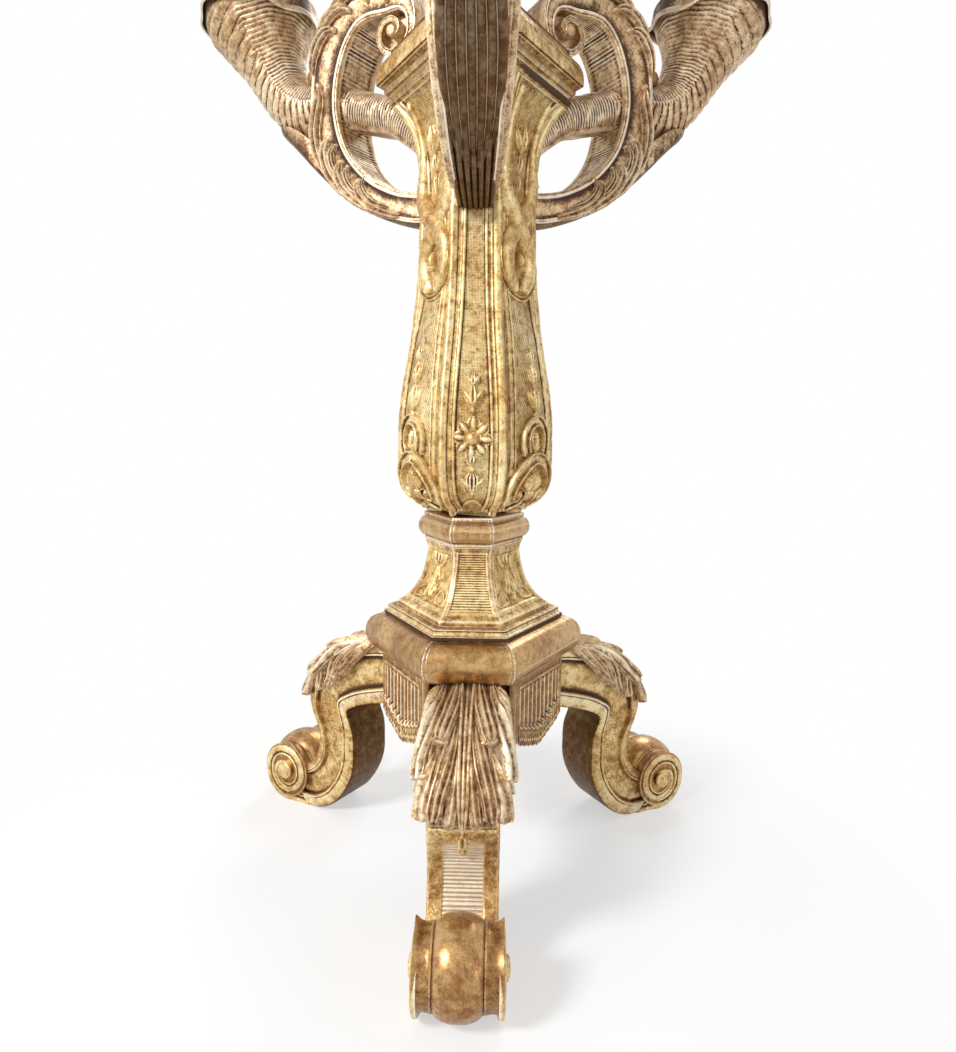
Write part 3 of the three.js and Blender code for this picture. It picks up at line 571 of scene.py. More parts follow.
collar = moulding("collar", [(64, 434.4), (66, 434.6), (66.6, 437), (65.6, 439.5)]
                  + roll(66.4, 452.3, 8.6, 12.6, -84, 84, 20)
                  + [(66.4, 466.2), (67.4, 467.0), (67.6, 469.6), (66.6, 471.2), (64, 471.8)])
put(collar, "collar_roll", burnished, FIRST_LEG, replaces=["collar"])

capital = moulding("capital", [(107, 977.4), (109.4, 978)] + roll(110.5, 983.2, 4.4, 4.6, -70, 70, 8)
                   + [(110.2, 988.4), (110.6, 989.6)] + roll(116.6, 994.6, 4.4, 4.4, -70, 70, 8)
                   + [(116.6, 999.4), (120, 1000.2), (125, 1001.4), (125.4, 1002.2)]
                   + roll(112, 1008.2, 19, 25, -14, 82, 20) + [(112, 1034.6), (112, 1041.4), (111, 1041.9)])
put(capital, "capital_roll", gilt_edges, FIRST_LEG, replaces=["capital"])
print("stack mouldings:", made)

# %% [markdown]
# The baluster shaft carries most of the carving. On the real one each narrow face is a long framed
# panel, each wide face a slightly swelling field of crossed lines, and rounded ribs run down the
# corners between them. The profile below is the corner's distance from the axis at each height.
# Two functions give the point of a face at a place across and up, raised by some height, and
# everything on the shaft is laid out with them.

# %% Shape of the shaft
SHAFT_HEIGHTS = [472, 478, 484, 490, 496, 504, 513, 526, 545, 568, 592, 618, 649, 679, 709, 738, 782, 825,
                 866, 900, 926, 948, 966, 977]
SHAFT_CORNERS = [64, 67, 72, 81, 87.5, 92.5, 95.5, 98, 99.5, 99.5, 98.5, 95.5, 90.5, 85, 80, 76.5, 73, 71,
                 70, 72, 76, 84, 96, 108]


def smooth_line(x, points, values):
    """A smooth line through values at points (a cubic with its slopes from the neighbours)."""
    points, values = np.asarray(points, float), np.asarray(values, float)
    slopes = np.gradient(values, points, axis=0)
    i = np.clip(np.searchsorted(points, x) - 1, 0, len(points) - 2)
    width = points[i + 1] - points[i]
    t = (x - points[i]) / width
    shape = (slice(None),) + (None,) * (values.ndim - 1) if values.ndim > 1 else slice(None)
    t, width = (t[shape], width[shape]) if np.ndim(x) else (t, width)
    return ((1 + 2 * t) * (1 - t) ** 2 * values[i] + t * (1 - t) ** 2 * width * slopes[i]
            + t * t * (3 - 2 * t) * values[i + 1] + t * t * (t - 1) * width * slopes[i + 1])


def ease(x, low, high):
    """0 under low, 1 over high, smooth in between."""
    t = np.clip((np.asarray(x, float) - low) / (high - low), 0, 1)
    return t * t * (3 - 2 * t)


def edge_run(line):
    """How far each point of a line lies from its start, along the line."""
    return np.concatenate([[0], np.cumsum(np.linalg.norm(np.diff(line, axis=0), axis=1))])


def shaft_corner(z):
    """Distance of the shaft's corners from the axis at a height."""
    return smooth_line(np.asarray(z, float).ravel(), SHAFT_HEIGHTS, SHAFT_CORNERS).reshape(np.shape(z))


def swell(z):
    """How far the middle of a wide face stands out of its flat."""
    return 9.5 * (1 - ease(z, 680, 770)) * ease(z, 470, 520)


def lean(z):
    """Outward and upward parts of the surface normal at a height."""
    slope = (shaft_corner(z + 1) - shaft_corner(z - 1)) / 2
    size = np.hypot(1, slope)
    return 1 / size, -slope / size


def narrow_face(s, z, lift=0.0):
    """Point of a narrow face of the shaft: s across, z up, lift out, in millimetres."""
    s, z, lift = np.broadcast_arrays(*(np.asarray(v, float) for v in (s, z, lift)))
    out, rise = lean(z)
    return np.stack([shaft_corner(z) * math.cos(NARROW) + lift * out, s, z + lift * rise], -1)


def wide_face(s, z, lift=0.0):
    """Point of the wide face that looks along +X when its piece is drawn."""
    s, z, lift = np.broadcast_arrays(*(np.asarray(v, float) for v in (s, z, lift)))
    out, rise = lean(z)
    half = shaft_corner(z) * math.sin(WIDE)
    bow = 2 * swell(z) / half * (s / half)
    crown = swell(z) * (1 - np.clip(np.abs(s) / half, 0, 1) ** 2)
    return np.stack([shaft_corner(z) * math.cos(WIDE) + crown + lift * out,
                     s + lift * out * bow, z + lift * rise], -1)


def rounded(x, middle, half, height):
    """A half-round rib across x."""
    return height * np.sqrt(np.clip(1 - ((x - middle) / half) ** 2, 0, 1))


def worn_ripple(z, seed, size=0.25):
    """Small slow unevenness along a moulding, as handwork leaves."""
    return size * (np.sin(z * 0.061 + seed) + 0.7 * np.sin(z * 0.137 + 2.1 * seed) + 0.5
                   * np.sin(z * 0.31 + 3.3 * seed))


z_rows = np.concatenate([np.arange(472.3, 520, 0.9), np.arange(520, 976, 1.5), [976.7]])
print("rows of carving up the shaft:", len(z_rows))

# %% [markdown]
# The narrow face: from each corner inwards come a rounded rib, a shallow cove, a raised fillet and
# the sunk panel. The skin goes a little way round each corner, so that the rib is whole. Below, the
# panel ends in a bracket-shaped lip, and the shaft steps back under it.

# %% Narrow faces of the shaft
def bracket(s, half, low, rise):
    """Height of a bracket-shaped lower edge: ears at the sides, an arch in the middle."""
    t = np.clip(np.abs(s) / half, 0, 1)
    return low + rise * (0.5 + 0.5 * np.cos(math.pi * np.clip(t * 1.12, 0, 1))) - 1.5 * ease(t, 0.8, 1.0)


def narrow_carving():
    """Points of the skin, which of them are ground, and how far across each lies."""
    edge = np.concatenate([np.arange(-9.5, 7, 0.9), np.arange(7, 16.2, 0.75)])
    rows, layers, marks = [], [], []
    for z in z_rows:
        half = float(shaft_corner(z)) * math.sin(NARROW)
        inner = half - edge[-1]
        middle = np.linspace(-inner, inner, 30)[1:-1]
        s = np.concatenate([-(half - edge), middle, (half - edge)[::-1]])
        e = half - np.abs(s)
        # From the corner inwards: rib, groove, cove, fillet, sunk panel. Round the corner: a groove.
        lift = (rounded(e, -1.2, 6.6, 3.6) - rounded(e, 9.0, 2.6, 1.6) + rounded(e, 13.4, 1.7, 1.9)
                - 2.2 * ease(e, 15.0, 15.9) - 0.9 * rounded(e, 6.0, 0.9, 1) - 2.8 * rounded(e, -8.6, 1.6, 1))
        lift = lift + worn_ripple(z, 1.3) * (e < 15)
        foot = bracket(s, half - 3, 477.5, 13.5)
        lip = ease(z - foot, -0.6, 0.6)
        lift = lift * lip - 8.5 * (1 - lip) * (np.abs(s) < half + 2) + 1.6 * lip * rounded(z - foot, 2.2,
                                                                                           2.4, 1) * (e > 3)
        ground = (e > 16) * (z > foot + 4)
        # A point on the face, or past the corner on the wide face, with the normal turned between.
        out, rise = (float(v) for v in lean(z))
        corner = float(shaft_corner(z))
        past = np.clip(-e, 0, None)
        side = np.sign(s)
        turn = math.radians(60) * ease(-e, -6, 6)
        x = corner * math.cos(NARROW) - past * math.sin(math.radians(60))
        y = np.where(past > 0, side * (corner * math.sin(NARROW) + past * math.cos(math.radians(60))), s)
        x = x + lift * out * np.cos(turn)
        y = y + lift * out * np.sin(turn) * side
        front = np.stack([x, y, z + lift * rise], 1)
        back = np.array([[x[-1] - 16, y[-1] * 0.8, z], [x[0] - 16, y[0] * 0.8, z], front[0]])
        rows.append(np.concatenate([front, back]))
        layers.append(np.concatenate([ground, [0, 0, 0]]))
        marks.append(np.concatenate([s, [0, 0, 0]]))
    return np.array(rows), np.array(layers, float), np.array(marks)


UV_UNIT = 100                            # millimetres for one unit of the UV map
spots, ground, across = narrow_carving()
narrow = skin("narrow", spots, across / UV_UNIT, z_rows[:, None] / UV_UNIT, {"ground": ground})
print("narrow face:", triangles(narrow), "triangles")

# %% [markdown]
# The wide face starts where the rib of the corner ends: a dark groove, a flat band, a fillet, and
# then the swelling field. Its lower edge is a lip as well, higher in the middle.

# %% Wide faces of the shaft
def wide_carving():
    """The same for a wide face."""
    edge = np.concatenate([np.arange(8.2, 13, 0.6), np.arange(13, 22.2, 0.75)])
    rows, layers, marks = [], [], []
    for z in z_rows:
        half = float(shaft_corner(z)) * math.sin(WIDE)
        inner = half - edge[-1]
        middle = np.linspace(-inner, inner, 48)[1:-1]
        s = np.concatenate([-(half - edge), middle, (half - edge)[::-1]])
        e = half - np.abs(s)
        lift = (-2.6 * rounded(e, 10.4, 1.7, 1) + 0.8 * rounded(e, 15, 3.2, 1) + rounded(e, 19.6, 1.5, 1.9)
                - 1.3 * ease(e, 21.0, 21.8)) + worn_ripple(z, 0.4) * (e < 21)
        foot = 477 + 8 * np.cos(np.clip(s / half, -1, 1) * math.pi / 2) ** 2
        lip = ease(z - foot, -0.6, 0.6)
        lift = lift * lip - 7.5 * (1 - lip) + 1.8 * lip * rounded(z - foot, 2.4, 2.6, 1)
        front = wide_face(s, z, lift)
        back = np.array([[front[-1, 0] - 22, s[-1] * 0.8, z], [front[0, 0] - 22, s[0] * 0.8, z], front[0]])
        rows.append(np.concatenate([front, back]))
        layers.append(np.concatenate([(e > 21.5) * (z > foot + 5), [0, 0, 0]]))
        marks.append(np.concatenate([s, [0, 0, 0]]))
    return np.array(rows), np.array(layers, float), np.array(marks)


spots, ground, across = wide_carving()
wide = skin("wide", spots, across / UV_UNIT, z_rows[:, None] / UV_UNIT, {"ground": ground})
print("wide face:", triangles(wide), "triangles")

# %% [markdown]
# The panels' grounds are punched and engraved, too finely for the mesh. Those marks are drawn in
# the finish instead, from the UV map that says where a point is across and up the face: rows of
# dots on the narrow faces, and crossed diagonal lines on the wide ones.

# %% Punched and crossed grounds
def punched(r):
    """Rows of dots, 3.6 mm apart."""
    u, v, _ = r.split(r.add("ShaderNodeTexCoord", None, None, out="UV"))
    return r.step(r.maths("SINE", (u + v) * UV_UNIT * 1.75) * r.maths("SINE", (u - v) * UV_UNIT * 1.75),
                  0.15, 0.7)


def crossed(r):
    """Two sets of diagonal lines, 6.2 mm apart."""
    u, v, _ = r.split(r.add("ShaderNodeTexCoord", None, None, out="UV"))
    rising = r.maths("PINGPONG", (u * 1.4 + v) * UV_UNIT, 3.1)
    falling = r.maths("PINGPONG", (u * 1.4 - v) * UV_UNIT + 620, 3.1)
    return 1.0 - r.step(r.maths("MINIMUM", rising, falling), 0.25, 0.85)


gilt_punched = gilding("gilt_punched_ground", pattern=punched)
gilt_crossed = gilding("gilt_crossed_ground", pattern=crossed)
put_round(narrow, LEGS, "shaft_panel_{}", gilt_punched)
put_round(wide, BETWEEN, "shaft_field_{}", gilt_crossed)
for side in BETWEEN:
    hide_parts("shaft")
print("shaft skins in place")

# %% [markdown]
# The ornaments on the faces are of two kinds. Bands are flat strips with a sunk middle that run
# along a curve and curl up at the end. Buds are husks, leaves and berries: a swelling form with
# flutes cut along it. Both are drawn flat, as a place across and up the face, and laid on the face
# by its function, so that they follow its curve and sit a little way into it.

# %% Bands and buds
def along(path, count):
    """A smooth curve through points, at evenly spaced steps, and its direction."""
    path = np.asarray(path, float)
    knots = edge_run(path)
    fine = smooth_line(np.linspace(0, knots[-1], 12 * count), knots, path)
    run = edge_run(fine)
    even = np.linspace(0, run[-1], count)
    spots = np.stack([np.interp(even, run, fine[:, i]) for i in range(path.shape[1])], 1)
    ways = np.gradient(spots, axis=0)
    return spots, ways / np.linalg.norm(ways, axis=1)[:, None], even


# Sections of a strip: place across, from -1 to 1, and height. Below 0 the height is in millimetres.
BAND = [(-1, -3.5), (-1, 0.0), (-0.97, 0.75), (-0.86, 1.0), (-0.72, 0.92), (-0.62, 0.5), (-0.4, 0.42),
        (0, 0.5), (0.4, 0.42), (0.62, 0.5), (0.72, 0.92), (0.86, 1.0), (0.97, 0.75), (1, 0.0), (1, -3.5)]
CUSHION = [(-1, -3.5), (-1, 0.0), (-0.95, 0.3), (-0.85, 0.55), (-0.65, 0.82), (-0.35, 0.97), (0, 1.0),
           (0.35, 0.97), (0.65, 0.82), (0.85, 0.55), (0.95, 0.3), (1, 0.0), (1, -3.5)]


def band(name, face, path, width, height, section=BAND, count=70, taper=(1.0, 1.0), sink=0.0):
    """A strip along a curve on a face. width and height may change along it."""
    section = np.array(section, float)
    spots, ways, run = along(path, count)
    share = run / run[-1]
    wide_now = np.interp(share, np.linspace(0, 1, len(np.atleast_1d(width))), np.atleast_1d(width)) / 2
    high_now = np.interp(share, np.linspace(0, 1, len(np.atleast_1d(height))), np.atleast_1d(height))
    ends = 0.25 + 0.75 * np.minimum(ease(share, 0, 0.03 * taper[0]), 1 - ease(share, 1 - 0.03 * taper[1], 1))
    t, h = section.T
    s = spots[:, 0:1] - ways[:, 1:2] * (wide_now * ends)[:, None] * t
    z = spots[:, 1:2] + ways[:, 0:1] * (wide_now * ends)[:, None] * t
    lift = np.where(h < 0, h, h * high_now[:, None] * ends[:, None]) - sink
    ring = face(s, z, lift)
    return skin(name, np.concatenate([ring, ring[:, :1]], 1))


def bud(name, face, foot, tip, width, height, flutes=5, shape=None, depth=0.22, count=16, sides=22, sink=1.5):
    """A swelling, fluted form from its foot to its tip on a face. shape lists its girth along the way."""
    foot, tip = np.array(foot, float), np.array(tip, float)
    way = (tip - foot) / np.linalg.norm(tip - foot)
    t = np.linspace(0.0, 1, count)
    body = np.interp(t, np.linspace(0, 1, len(shape)), shape) if shape else np.sin(math.pi * t ** 0.75) ** 0.7
    body = np.maximum(body, 0.03)
    turn = np.linspace(math.pi, 0, sides)
    groove = 1 - depth * (0.5 - 0.5 * np.cos(turn * 2 * flutes)) * ease(t, 0.05, 0.3)[:, None]
    side = body[:, None] * width / 2 * np.cos(turn) * (0.5 + 0.5 * groove)
    lift = body[:, None] ** 0.8 * height * np.sin(turn) ** 0.8 * groove
    middle = foot + (tip - foot) * t[:, None]
    s = middle[:, 0:1] - way[1] * side
    z = middle[:, 1:2] + way[0] * side
    ring = face(s, z, lift)
    under = face(s[:, [-1, 0]], z[:, [-1, 0]], np.full((count, 2), -sink))
    return skin(name, np.concatenate([ring, under, ring[:, :1]], 1))


def fan(name, face, middle, reach, width, height, turns, flutes=1, **more):
    """Several buds that spread from one point."""
    pieces = []
    for i, degrees in enumerate(turns):
        turn = math.radians(degrees)
        tip = (middle[0] + reach * math.sin(turn), middle[1] + reach * math.cos(turn))
        pieces.append(bud(f"{name}_{i}", face, middle, tip, width, height, flutes, **more))
    return pieces


def boss(name, face, middle, radius, height, rings=7, sides=24, sink=1.5):
    """A round raised button."""
    turn = np.linspace(0, 2 * math.pi, sides + 1)
    rise = np.linspace(0, math.pi / 2, rings)
    out = np.concatenate([[1.0], np.cos(rise)]) * radius
    lift = np.concatenate([[-sink], np.sin(rise) * height])
    s = middle[0] + out[:, None] * np.cos(turn)
    z = middle[1] + out[:, None] * np.sin(turn)
    return skin(name, face(s, z, np.broadcast_to(lift[:, None], s.shape)))


print("ornament tools ready")

# %% [markdown]
# On the narrow face hangs a chain: small husks, an eight-petalled rosette with a round boss, a bead
# and a bellflower that opens downwards.

# %% Ornaments of the narrow faces
def husk(name, face, s, z, size, height=4.5):
    """Three leaves that open upwards, over a small drop."""
    leaves = fan(name + "_leaf", face, (s, z - size * 0.5), size * 1.05, size * 0.5, height, (-34, 34), 2,
                 depth=0.3)
    leaves.append(bud(name + "_heart", face, (s, z - size * 0.62), (s, z + size * 0.55), size * 0.66,
                      height * 1.35, 3, shape=(0.25, 0.85, 1.0, 0.95, 0.7, 0.35), depth=0.35))
    leaves.append(bud(name + "_drop", face, (s, z - size * 0.62), (s, z - size * 1.12), size * 0.26,
                      height * 0.7, 1, depth=0))
    return leaves


ROSETTE = 571                            # height of the rosette's middle
chain = husk("husk_a", narrow_face, 0, 640, 13, 3.4) + husk("husk_b", narrow_face, 0, 621, 21, 5.0)
for i in range(8):
    turn = math.radians(45 * i + 4)
    reach = 24.5 if i % 4 == 0 else 22.5
    chain.append(bud(f"petal_{i}", narrow_face, (7 * math.sin(turn), ROSETTE + 7 * math.cos(turn)),
                     (reach * math.sin(turn), ROSETTE + (reach + 1.5) * math.cos(turn)), 16.0, 7.4, 2,
                     shape=(0.3, 0.72, 1.0, 1.06, 0.92, 0.5), depth=0.42))
chain.append(boss("rosette_boss", narrow_face, (0, ROSETTE), 8.6, 11.5, 9, 28))
chain.append(bud("low_bud", narrow_face, (0, 553), (0, 538.5), 11, 6.5, 3, depth=0.3))
chain.append(boss("bead", narrow_face, (0, 534.2), 3.5, 4.6, 5, 16))
chain.append(bud("bell", narrow_face, (0, 507), (0, 529), 17, 6.4, 5,
                 shape=(0.25, 0.7, 0.92, 1.0, 1.05, 1.0, 0.5), depth=0.4))
chain += fan("bell_tip", narrow_face, (0, 512), 18, 8, 4.4, (-52, 52), 2, depth=0.3)
chain.append(bud("bell_drop", narrow_face, (0, 509), (0, 501), 4.5, 3.2, 1, depth=0))
put_round(joined(chain, "chain"), LEGS, "shaft_rosette_{}", gilt)
print("chain of husks and rosette in place")

# %% [markdown]
# On the wide face two smooth straps come down from the branches, cross, and close into a round
# volute with a small slit at its middle. One strap passes over the other, the same way round on all
# three faces. Below hang husks, and the swell carries an arch over a pair of broad C-scrolls with a
# shell between them. The straps are modelled as cushions and the C-scrolls as edged bands.

# %% Straps and volutes of the wide faces
def strap(side):
    """One strap, from the left or right of the neck to the volute. The left one passes over."""
    path = [(34.0 * side, 972), (31 * side, 940), (32 * side, 905), (36.5 * side, 878), (31 * side, 856),
             (15 * side, 838), (-3 * side, 824), (-17 * side, 811), (-25.5 * side, 797), (-28 * side, 782),
             (-24.5 * side, 766), (-14 * side, 754.5), (-1 * side, 750)]
    crossing = (13, 14) if side < 0 else (8.5, 8)
    return band("strap", wide_face, path, (10, 11, 13, 20, 25, 27, 27, 26, 24, 18),
                (5.5, 5.5, 6, 8, *crossing, 10, 9.5, 9, 6), CUSHION, 110, (0.5, 1.5))


def hanging_arc(middle, across, down, reach, count):
    """Points of the lower part of an oval, up to an angle on both sides."""
    turns = np.radians(np.linspace(-reach, reach, count))
    return [(across * math.sin(a), middle - down * math.cos(a)) for a in turns]


def neck_ornaments():
    """Straps and volute of the neck, and the husks between and above them."""
    pieces = [strap(-1), strap(1)]
    pieces.append(band("volute_rim", wide_face, hanging_arc(783, 42, 40.5, 128, 26), 6.0,
                       (3.4, 5.2, 5.4, 5.2, 3.4), BAND, 90))
    pieces.append(band("volute_line", wide_face, hanging_arc(781.5, 46.5, 44, 75, 18), 3.0,
                       (1.5, 2.6, 1.5), CUSHION, 60))
    pieces.append(bud("volute_eye", wide_face, (0.5, 776), (-0.5, 796), 8, 11.5, 1, depth=0.1))
    pieces.append(boss("volute_bead", wide_face, (0, 774.5), 4.2, 12.5, 6, 18))
    for side in (-1, 1):
        pieces.append(band("tie", wide_face, [(27 * side, 884), (44 * side, 880)], 7, 9, CUSHION, 12, (3, 3)))
    pieces += husk("husk_top", wide_face, 0, 925, 26, 6.5)
    pieces.append(bud("hanging_a", wide_face, (0, 908), (0, 884), 13, 6, 4, depth=0.35))
    pieces.append(bud("hanging_b", wide_face, (0, 886), (0, 862), 10, 5, 4, depth=0.35))
    pieces += fan("hanging_leaf", wide_face, (0, 888), 15, 7, 4, (-40, 40), 2)
    return pieces


def swell_ornaments():
    """Husks, the arch with its heart, and the pair of C-scrolls with the shell."""
    pieces = []
    for height, size, rise in ((672, 15, 4), (648, 20, 5), (619, 25, 6)):
        pieces += husk(f"husk_{height}", wide_face, 0, height, size, rise)
    arch = [(-21, 549), (-25.5, 562), (-24, 576), (-15, 587), (0, 591.5), (15, 587), (24, 576), (25.5, 562),
            (21, 549)]
    pieces.append(band("arch", wide_face, arch, (15, 14, 13, 14, 15), (5.5, 6.5, 7, 6.5, 5.5), BAND, 90))
    pieces += fan("arch_crest", wide_face, (0, 592), 10, 6.5, 5, (-62, -22, 22, 62), 1, depth=0.1)
    pieces.append(bud("arch_heart", wide_face, (0, 553), (0, 577), 19, 6, 2,
                      shape=(0.2, 0.55, 0.85, 1.0, 1.0, 0.6), depth=0.5))
    pieces += fan("arch_leaf", wide_face, (0, 556), 15, 8, 4.5, (-58, 58), 2)
    for side in (-1, 1):
        scroll = [(0, 546.5), (13 * side, 543.5), (27 * side, 536), (39 * side, 525), (45 * side, 511),
                  (41.5 * side, 498),
                  (31 * side, 491.5), (22 * side, 495), (20.5 * side, 503), (26 * side, 507)]
        pieces.append(band("c_band", wide_face, scroll, (15, 16, 17, 17, 16, 13, 10, 8),
                           (6.5, 7.5, 8, 8, 7.5, 7, 7, 7.5), BAND, 110))
        pieces.append(boss("c_eye", wide_face, (26.5 * side, 503.5), 4.0, 8.5, 5, 16))
    pieces += fan("shell", wide_face, (0, 503), 25, 9.5, 5.8, (-54, -36, -18, 0, 18, 36, 54), 1, depth=0.0,
                  shape=(0.2, 0.5, 0.8, 1.0, 1.02, 0.6))
    pieces += fan("shell_curl", wide_face, (0, 505), 13, 10, 6.5, (-128, -155, 180, 155, 128), 1, depth=0.0)
    return pieces


put_round(joined(neck_ornaments() + swell_ornaments(), "field"), BETWEEN, "shaft_scrolls_{}", gilt_scroll)
print("straps, volutes and scrolls in place")

# %% [markdown]
# A leg is drawn from the side as pairs of points: one on its outer edge, over the knee and down the
# shin, and one facing it on its inner edge. The skin runs round each pair. Its top has a channel
# with cross ribs between two fillets, and each side has a sunk field between two borders.

# %% Body of a leg
LEG_OUTER = [(97, 277), (126.6, 276.7), (153.8, 272), (185, 266), (212, 255), (235, 237), (250, 217),
             (259, 195), (261.7, 175), (257, 155), (248, 135), (244.6, 118), (245.4, 101), (250.5, 86),
             (259.5, 73.4), (272, 65), (290, 58), (303, 50)]
LEG_INNER = [(97, 197), (113, 196), (129, 192), (150, 186), (165, 181), (178, 175), (190, 166), (186, 152),
             (180, 137), (178, 122), (178, 107), (178, 92), (181, 75), (188, 57), (200, 37), (218, 17),
             (243, 3), (270, 0.4)]
LEG_HALF = 38                            # half the width of a leg
CHANNEL_HALF, CHANNEL_DEPTH = 22, 4.2    # the channel in its top, below the leaf
FOOT_REACH, FOOT_HEIGHT = 308, 50        # middle of the foot roll


def leg_lines(count_each):
    """Points along both edges of a leg. count_each says how many steps lie between two pairs."""
    place = np.concatenate([np.linspace(i, i + 1, n, endpoint=False) for i, n in enumerate(count_each)]
                           + [[len(count_each)]])
    knots = np.arange(len(LEG_OUTER))
    return [smooth_line(place, knots, np.array(edge, float)) for edge in (LEG_OUTER, LEG_INNER)]


def leg_body():
    outer, inner = leg_lines([5, 5, 5, 5, 5, 5, 6, 8, 22, 22, 20, 18, 16, 16, 14, 12, 5])
    depth = np.linalg.norm(inner - outer, axis=1)
    ways = (inner - outer) / depth[:, None]
    z = outer[:, 1]
    below_leaf = (np.arange(len(z)) > 60) & (z < 153)
    channel = ease(-z, -156, -150) * (np.arange(len(z)) > 40)
    ribs = 1.5 * np.abs(np.sin(math.pi * edge_run(outer) / 4.3)) ** 0.7 * below_leaf

    across = [-38, -37.2, -35.5, -30, -25, -23.6, -22.6, -21.8, -21.0, -14, -7, 0]
    across = across + [-s for s in across[-2::-1]]
    rings = []
    for s in across:
        drop = channel * (CHANNEL_DEPTH - ribs if abs(s) < CHANNEL_HALF else 0.6 if abs(s) == 22.6 else 0)
        drop = drop + (1.4 if abs(s) > 37.5 else 0.3 if abs(s) > 37 else 0)       # rounded corner
        line = outer + ways * drop[:, None]
        rings.append(np.stack([line[:, 0], np.full(len(z), float(s)), line[:, 1]], 1))

    # Each border of a side: distance from its edge, and how far it stands out.
    outer_side = [(2.0, 0), (4.5, 0.6), (9.5, 0.8), (10.4, -0.4), (11.2, 1.4), (13, 1.5), (14, -0.5),
                  (15.5, -4.6)]
    inner_side = [(2.0, 0), (4.5, 0.8), (16, 1.0), (17.4, -0.2), (18.2, -0.4), (19, 1.8), (21, 1.9),
                  (22.2, 0.0), (24, -4.6)]
    field = outer_side[-1][0], inner_side[-1][0]

    def side_lines(sign, order):
        for kind, near, out in order:
            share = {"outer": near / depth, "inner": 1 - near / depth}.get(
                kind, field[0] / depth + near * (1 - sum(field) / depth))
            line = outer + (inner - outer) * np.clip(share, 0.02, 0.98)[:, None]
            yield np.stack([line[:, 0], np.full(len(z), sign * (LEG_HALF + out)), line[:, 1]], 1)

    order = ([("outer", near, out) for near, out in outer_side]
             + [("between", k / 7, -4.8 + 1.8 * math.sin(math.pi * k / 7)) for k in range(1, 7)]
             + [("inner", near, out) for near, out in inner_side[::-1]])
    rings += list(side_lines(1, order))
    for s in (37.4, 34, 20, 0, -20, -34, -37.4):
        line = inner - ways * (1.2 if abs(s) > 36 else 0)
        rings.append(np.stack([line[:, 0], np.full(len(z), float(s)), line[:, 1]], 1))
    rings += list(side_lines(-1, order[::-1]))
    rings.append(rings[0])
    columns = np.arange(len(rings))
    first = len(across) + len(order)
    # The back of the leg, its inner edge, gets painted shade through the shadow layer.
    back = (columns >= first) & (columns < first + 7)
    middle = np.array([abs(s) < CHANNEL_HALF for s in across] + [False] * (len(rings) - len(across)))
    return skin("leg", np.stack(rings, 1), sharp=34, layers={
        "shadow": back.astype(float)[None, :], "chalk": channel[:, None] * middle[None, :]})


# %% [markdown]
# At the floor the leg turns up round a barrel-shaped roll, which is burnished. On both sides the
# leg's border sweeps under the roll and coils up into a volute, like the end of a paper scroll.

# %% Foot roll and volutes
def foot_roll():
    """A barrel across the leg, with a fillet and a cheek at each end."""
    turn = np.linspace(0, 2 * math.pi, 73)
    half = [(0, 50.0), (5, 49.9), (10, 49.3), (15, 48.0), (19, 46.2), (22.5, 43.8), (24.4, 42.0),
            (25.2, 41.2), (26.0, 41.9), (27.4, 42.0), (28.2, 41.3), (31, 40.6), (35, 40.2), (39, 40.6),
            (42.5, 41.8), (44.4, 42.2), (45.2, 41.4)]
    ear = 6.5 * np.exp(-((np.degrees(turn) - 104) / 16) ** 2)            # the cheeks rise at the back
    rows = [(y, r + ear * max(0, (y - 32) / 13) ** 1.5 - 0.1) for y, r in half]
    rows += [(43.2 + 0.6 * ease(r, 34, 38), r) for r in np.linspace(38.2, 1.0, 10)]
    rings = []
    for side in (1, -1):
        part = []
        for y, r in rows:
            r, y = np.broadcast_to(r, turn.shape), np.broadcast_to(y, turn.shape)
            part.append(np.stack([FOOT_REACH + r * np.cos(turn), side * y,
                                  FOOT_HEIGHT + r * np.sin(turn)], 1))
        rings.append(part)
    return skin("foot", np.array(rings[1][::-1] + rings[0][1:]), sharp=34)


def foot_plate():
    """On both sides the leg sweeps under the roll and coils up into a volute."""
    turn = np.radians(np.concatenate([[-128, -120, -113, -106], np.linspace(-100, 620, 150)]))
    reach = np.interp(np.degrees(turn), [-140, -90, -45, 0, 60, 120, 180, 250, 330, 420, 520, 620],
                      [77, 49.6, 45.5, 42, 40, 37.5, 35.5, 34, 27, 17, 9, 5])
    reach = np.where(turn < -math.pi / 2, 49.8 / -np.sin(turn), reach)      # there it lies flat on the floor
    wide = np.interp(np.degrees(turn), [-140, -60, 60, 180, 300, 420, 520, 620],
                     [17, 17, 15.5, 14, 12.5, 10, 7, 3])
    section = [(0.0, -4), (0.0, -0.5), (0.1, 1.2), (0.3, 2.2), (0.5, 2.0), (0.72, 1.2), (0.84, 2.6),
               (0.93, 2.4), (1.0, 0.0), (1.0, -4)]
    pieces = []
    for side in (1, -1):
        rings = []
        for angle, r, w in zip(turn, reach, wide):
            rise = 1.6 * ease(np.degrees(angle), 120, 560) - 6.2 * (1 - ease(np.degrees(angle), -128, -60))
            rings.append([(FOOT_REACH + (r - w * d) * math.cos(angle),
                           side * (44.4 + up_ * min(1.0, w / 9) + rise),
                           FOOT_HEIGHT + (r - w * d) * math.sin(angle)) for d, up_ in section + section[:1]])
        pieces.append(skin("volute", np.array(rings), sharp=34))
    return pieces


# %% [markdown]
# An acanthus leaf lies over each knee. Its lobes leave the middle rib in pairs, droop over the
# sides and roll up at their tips. They are drawn flat, across and along the knee, and laid over it
# by a function that also bends them round its edges. A bed under them carries painted shade, so that the gaps look
# deep.

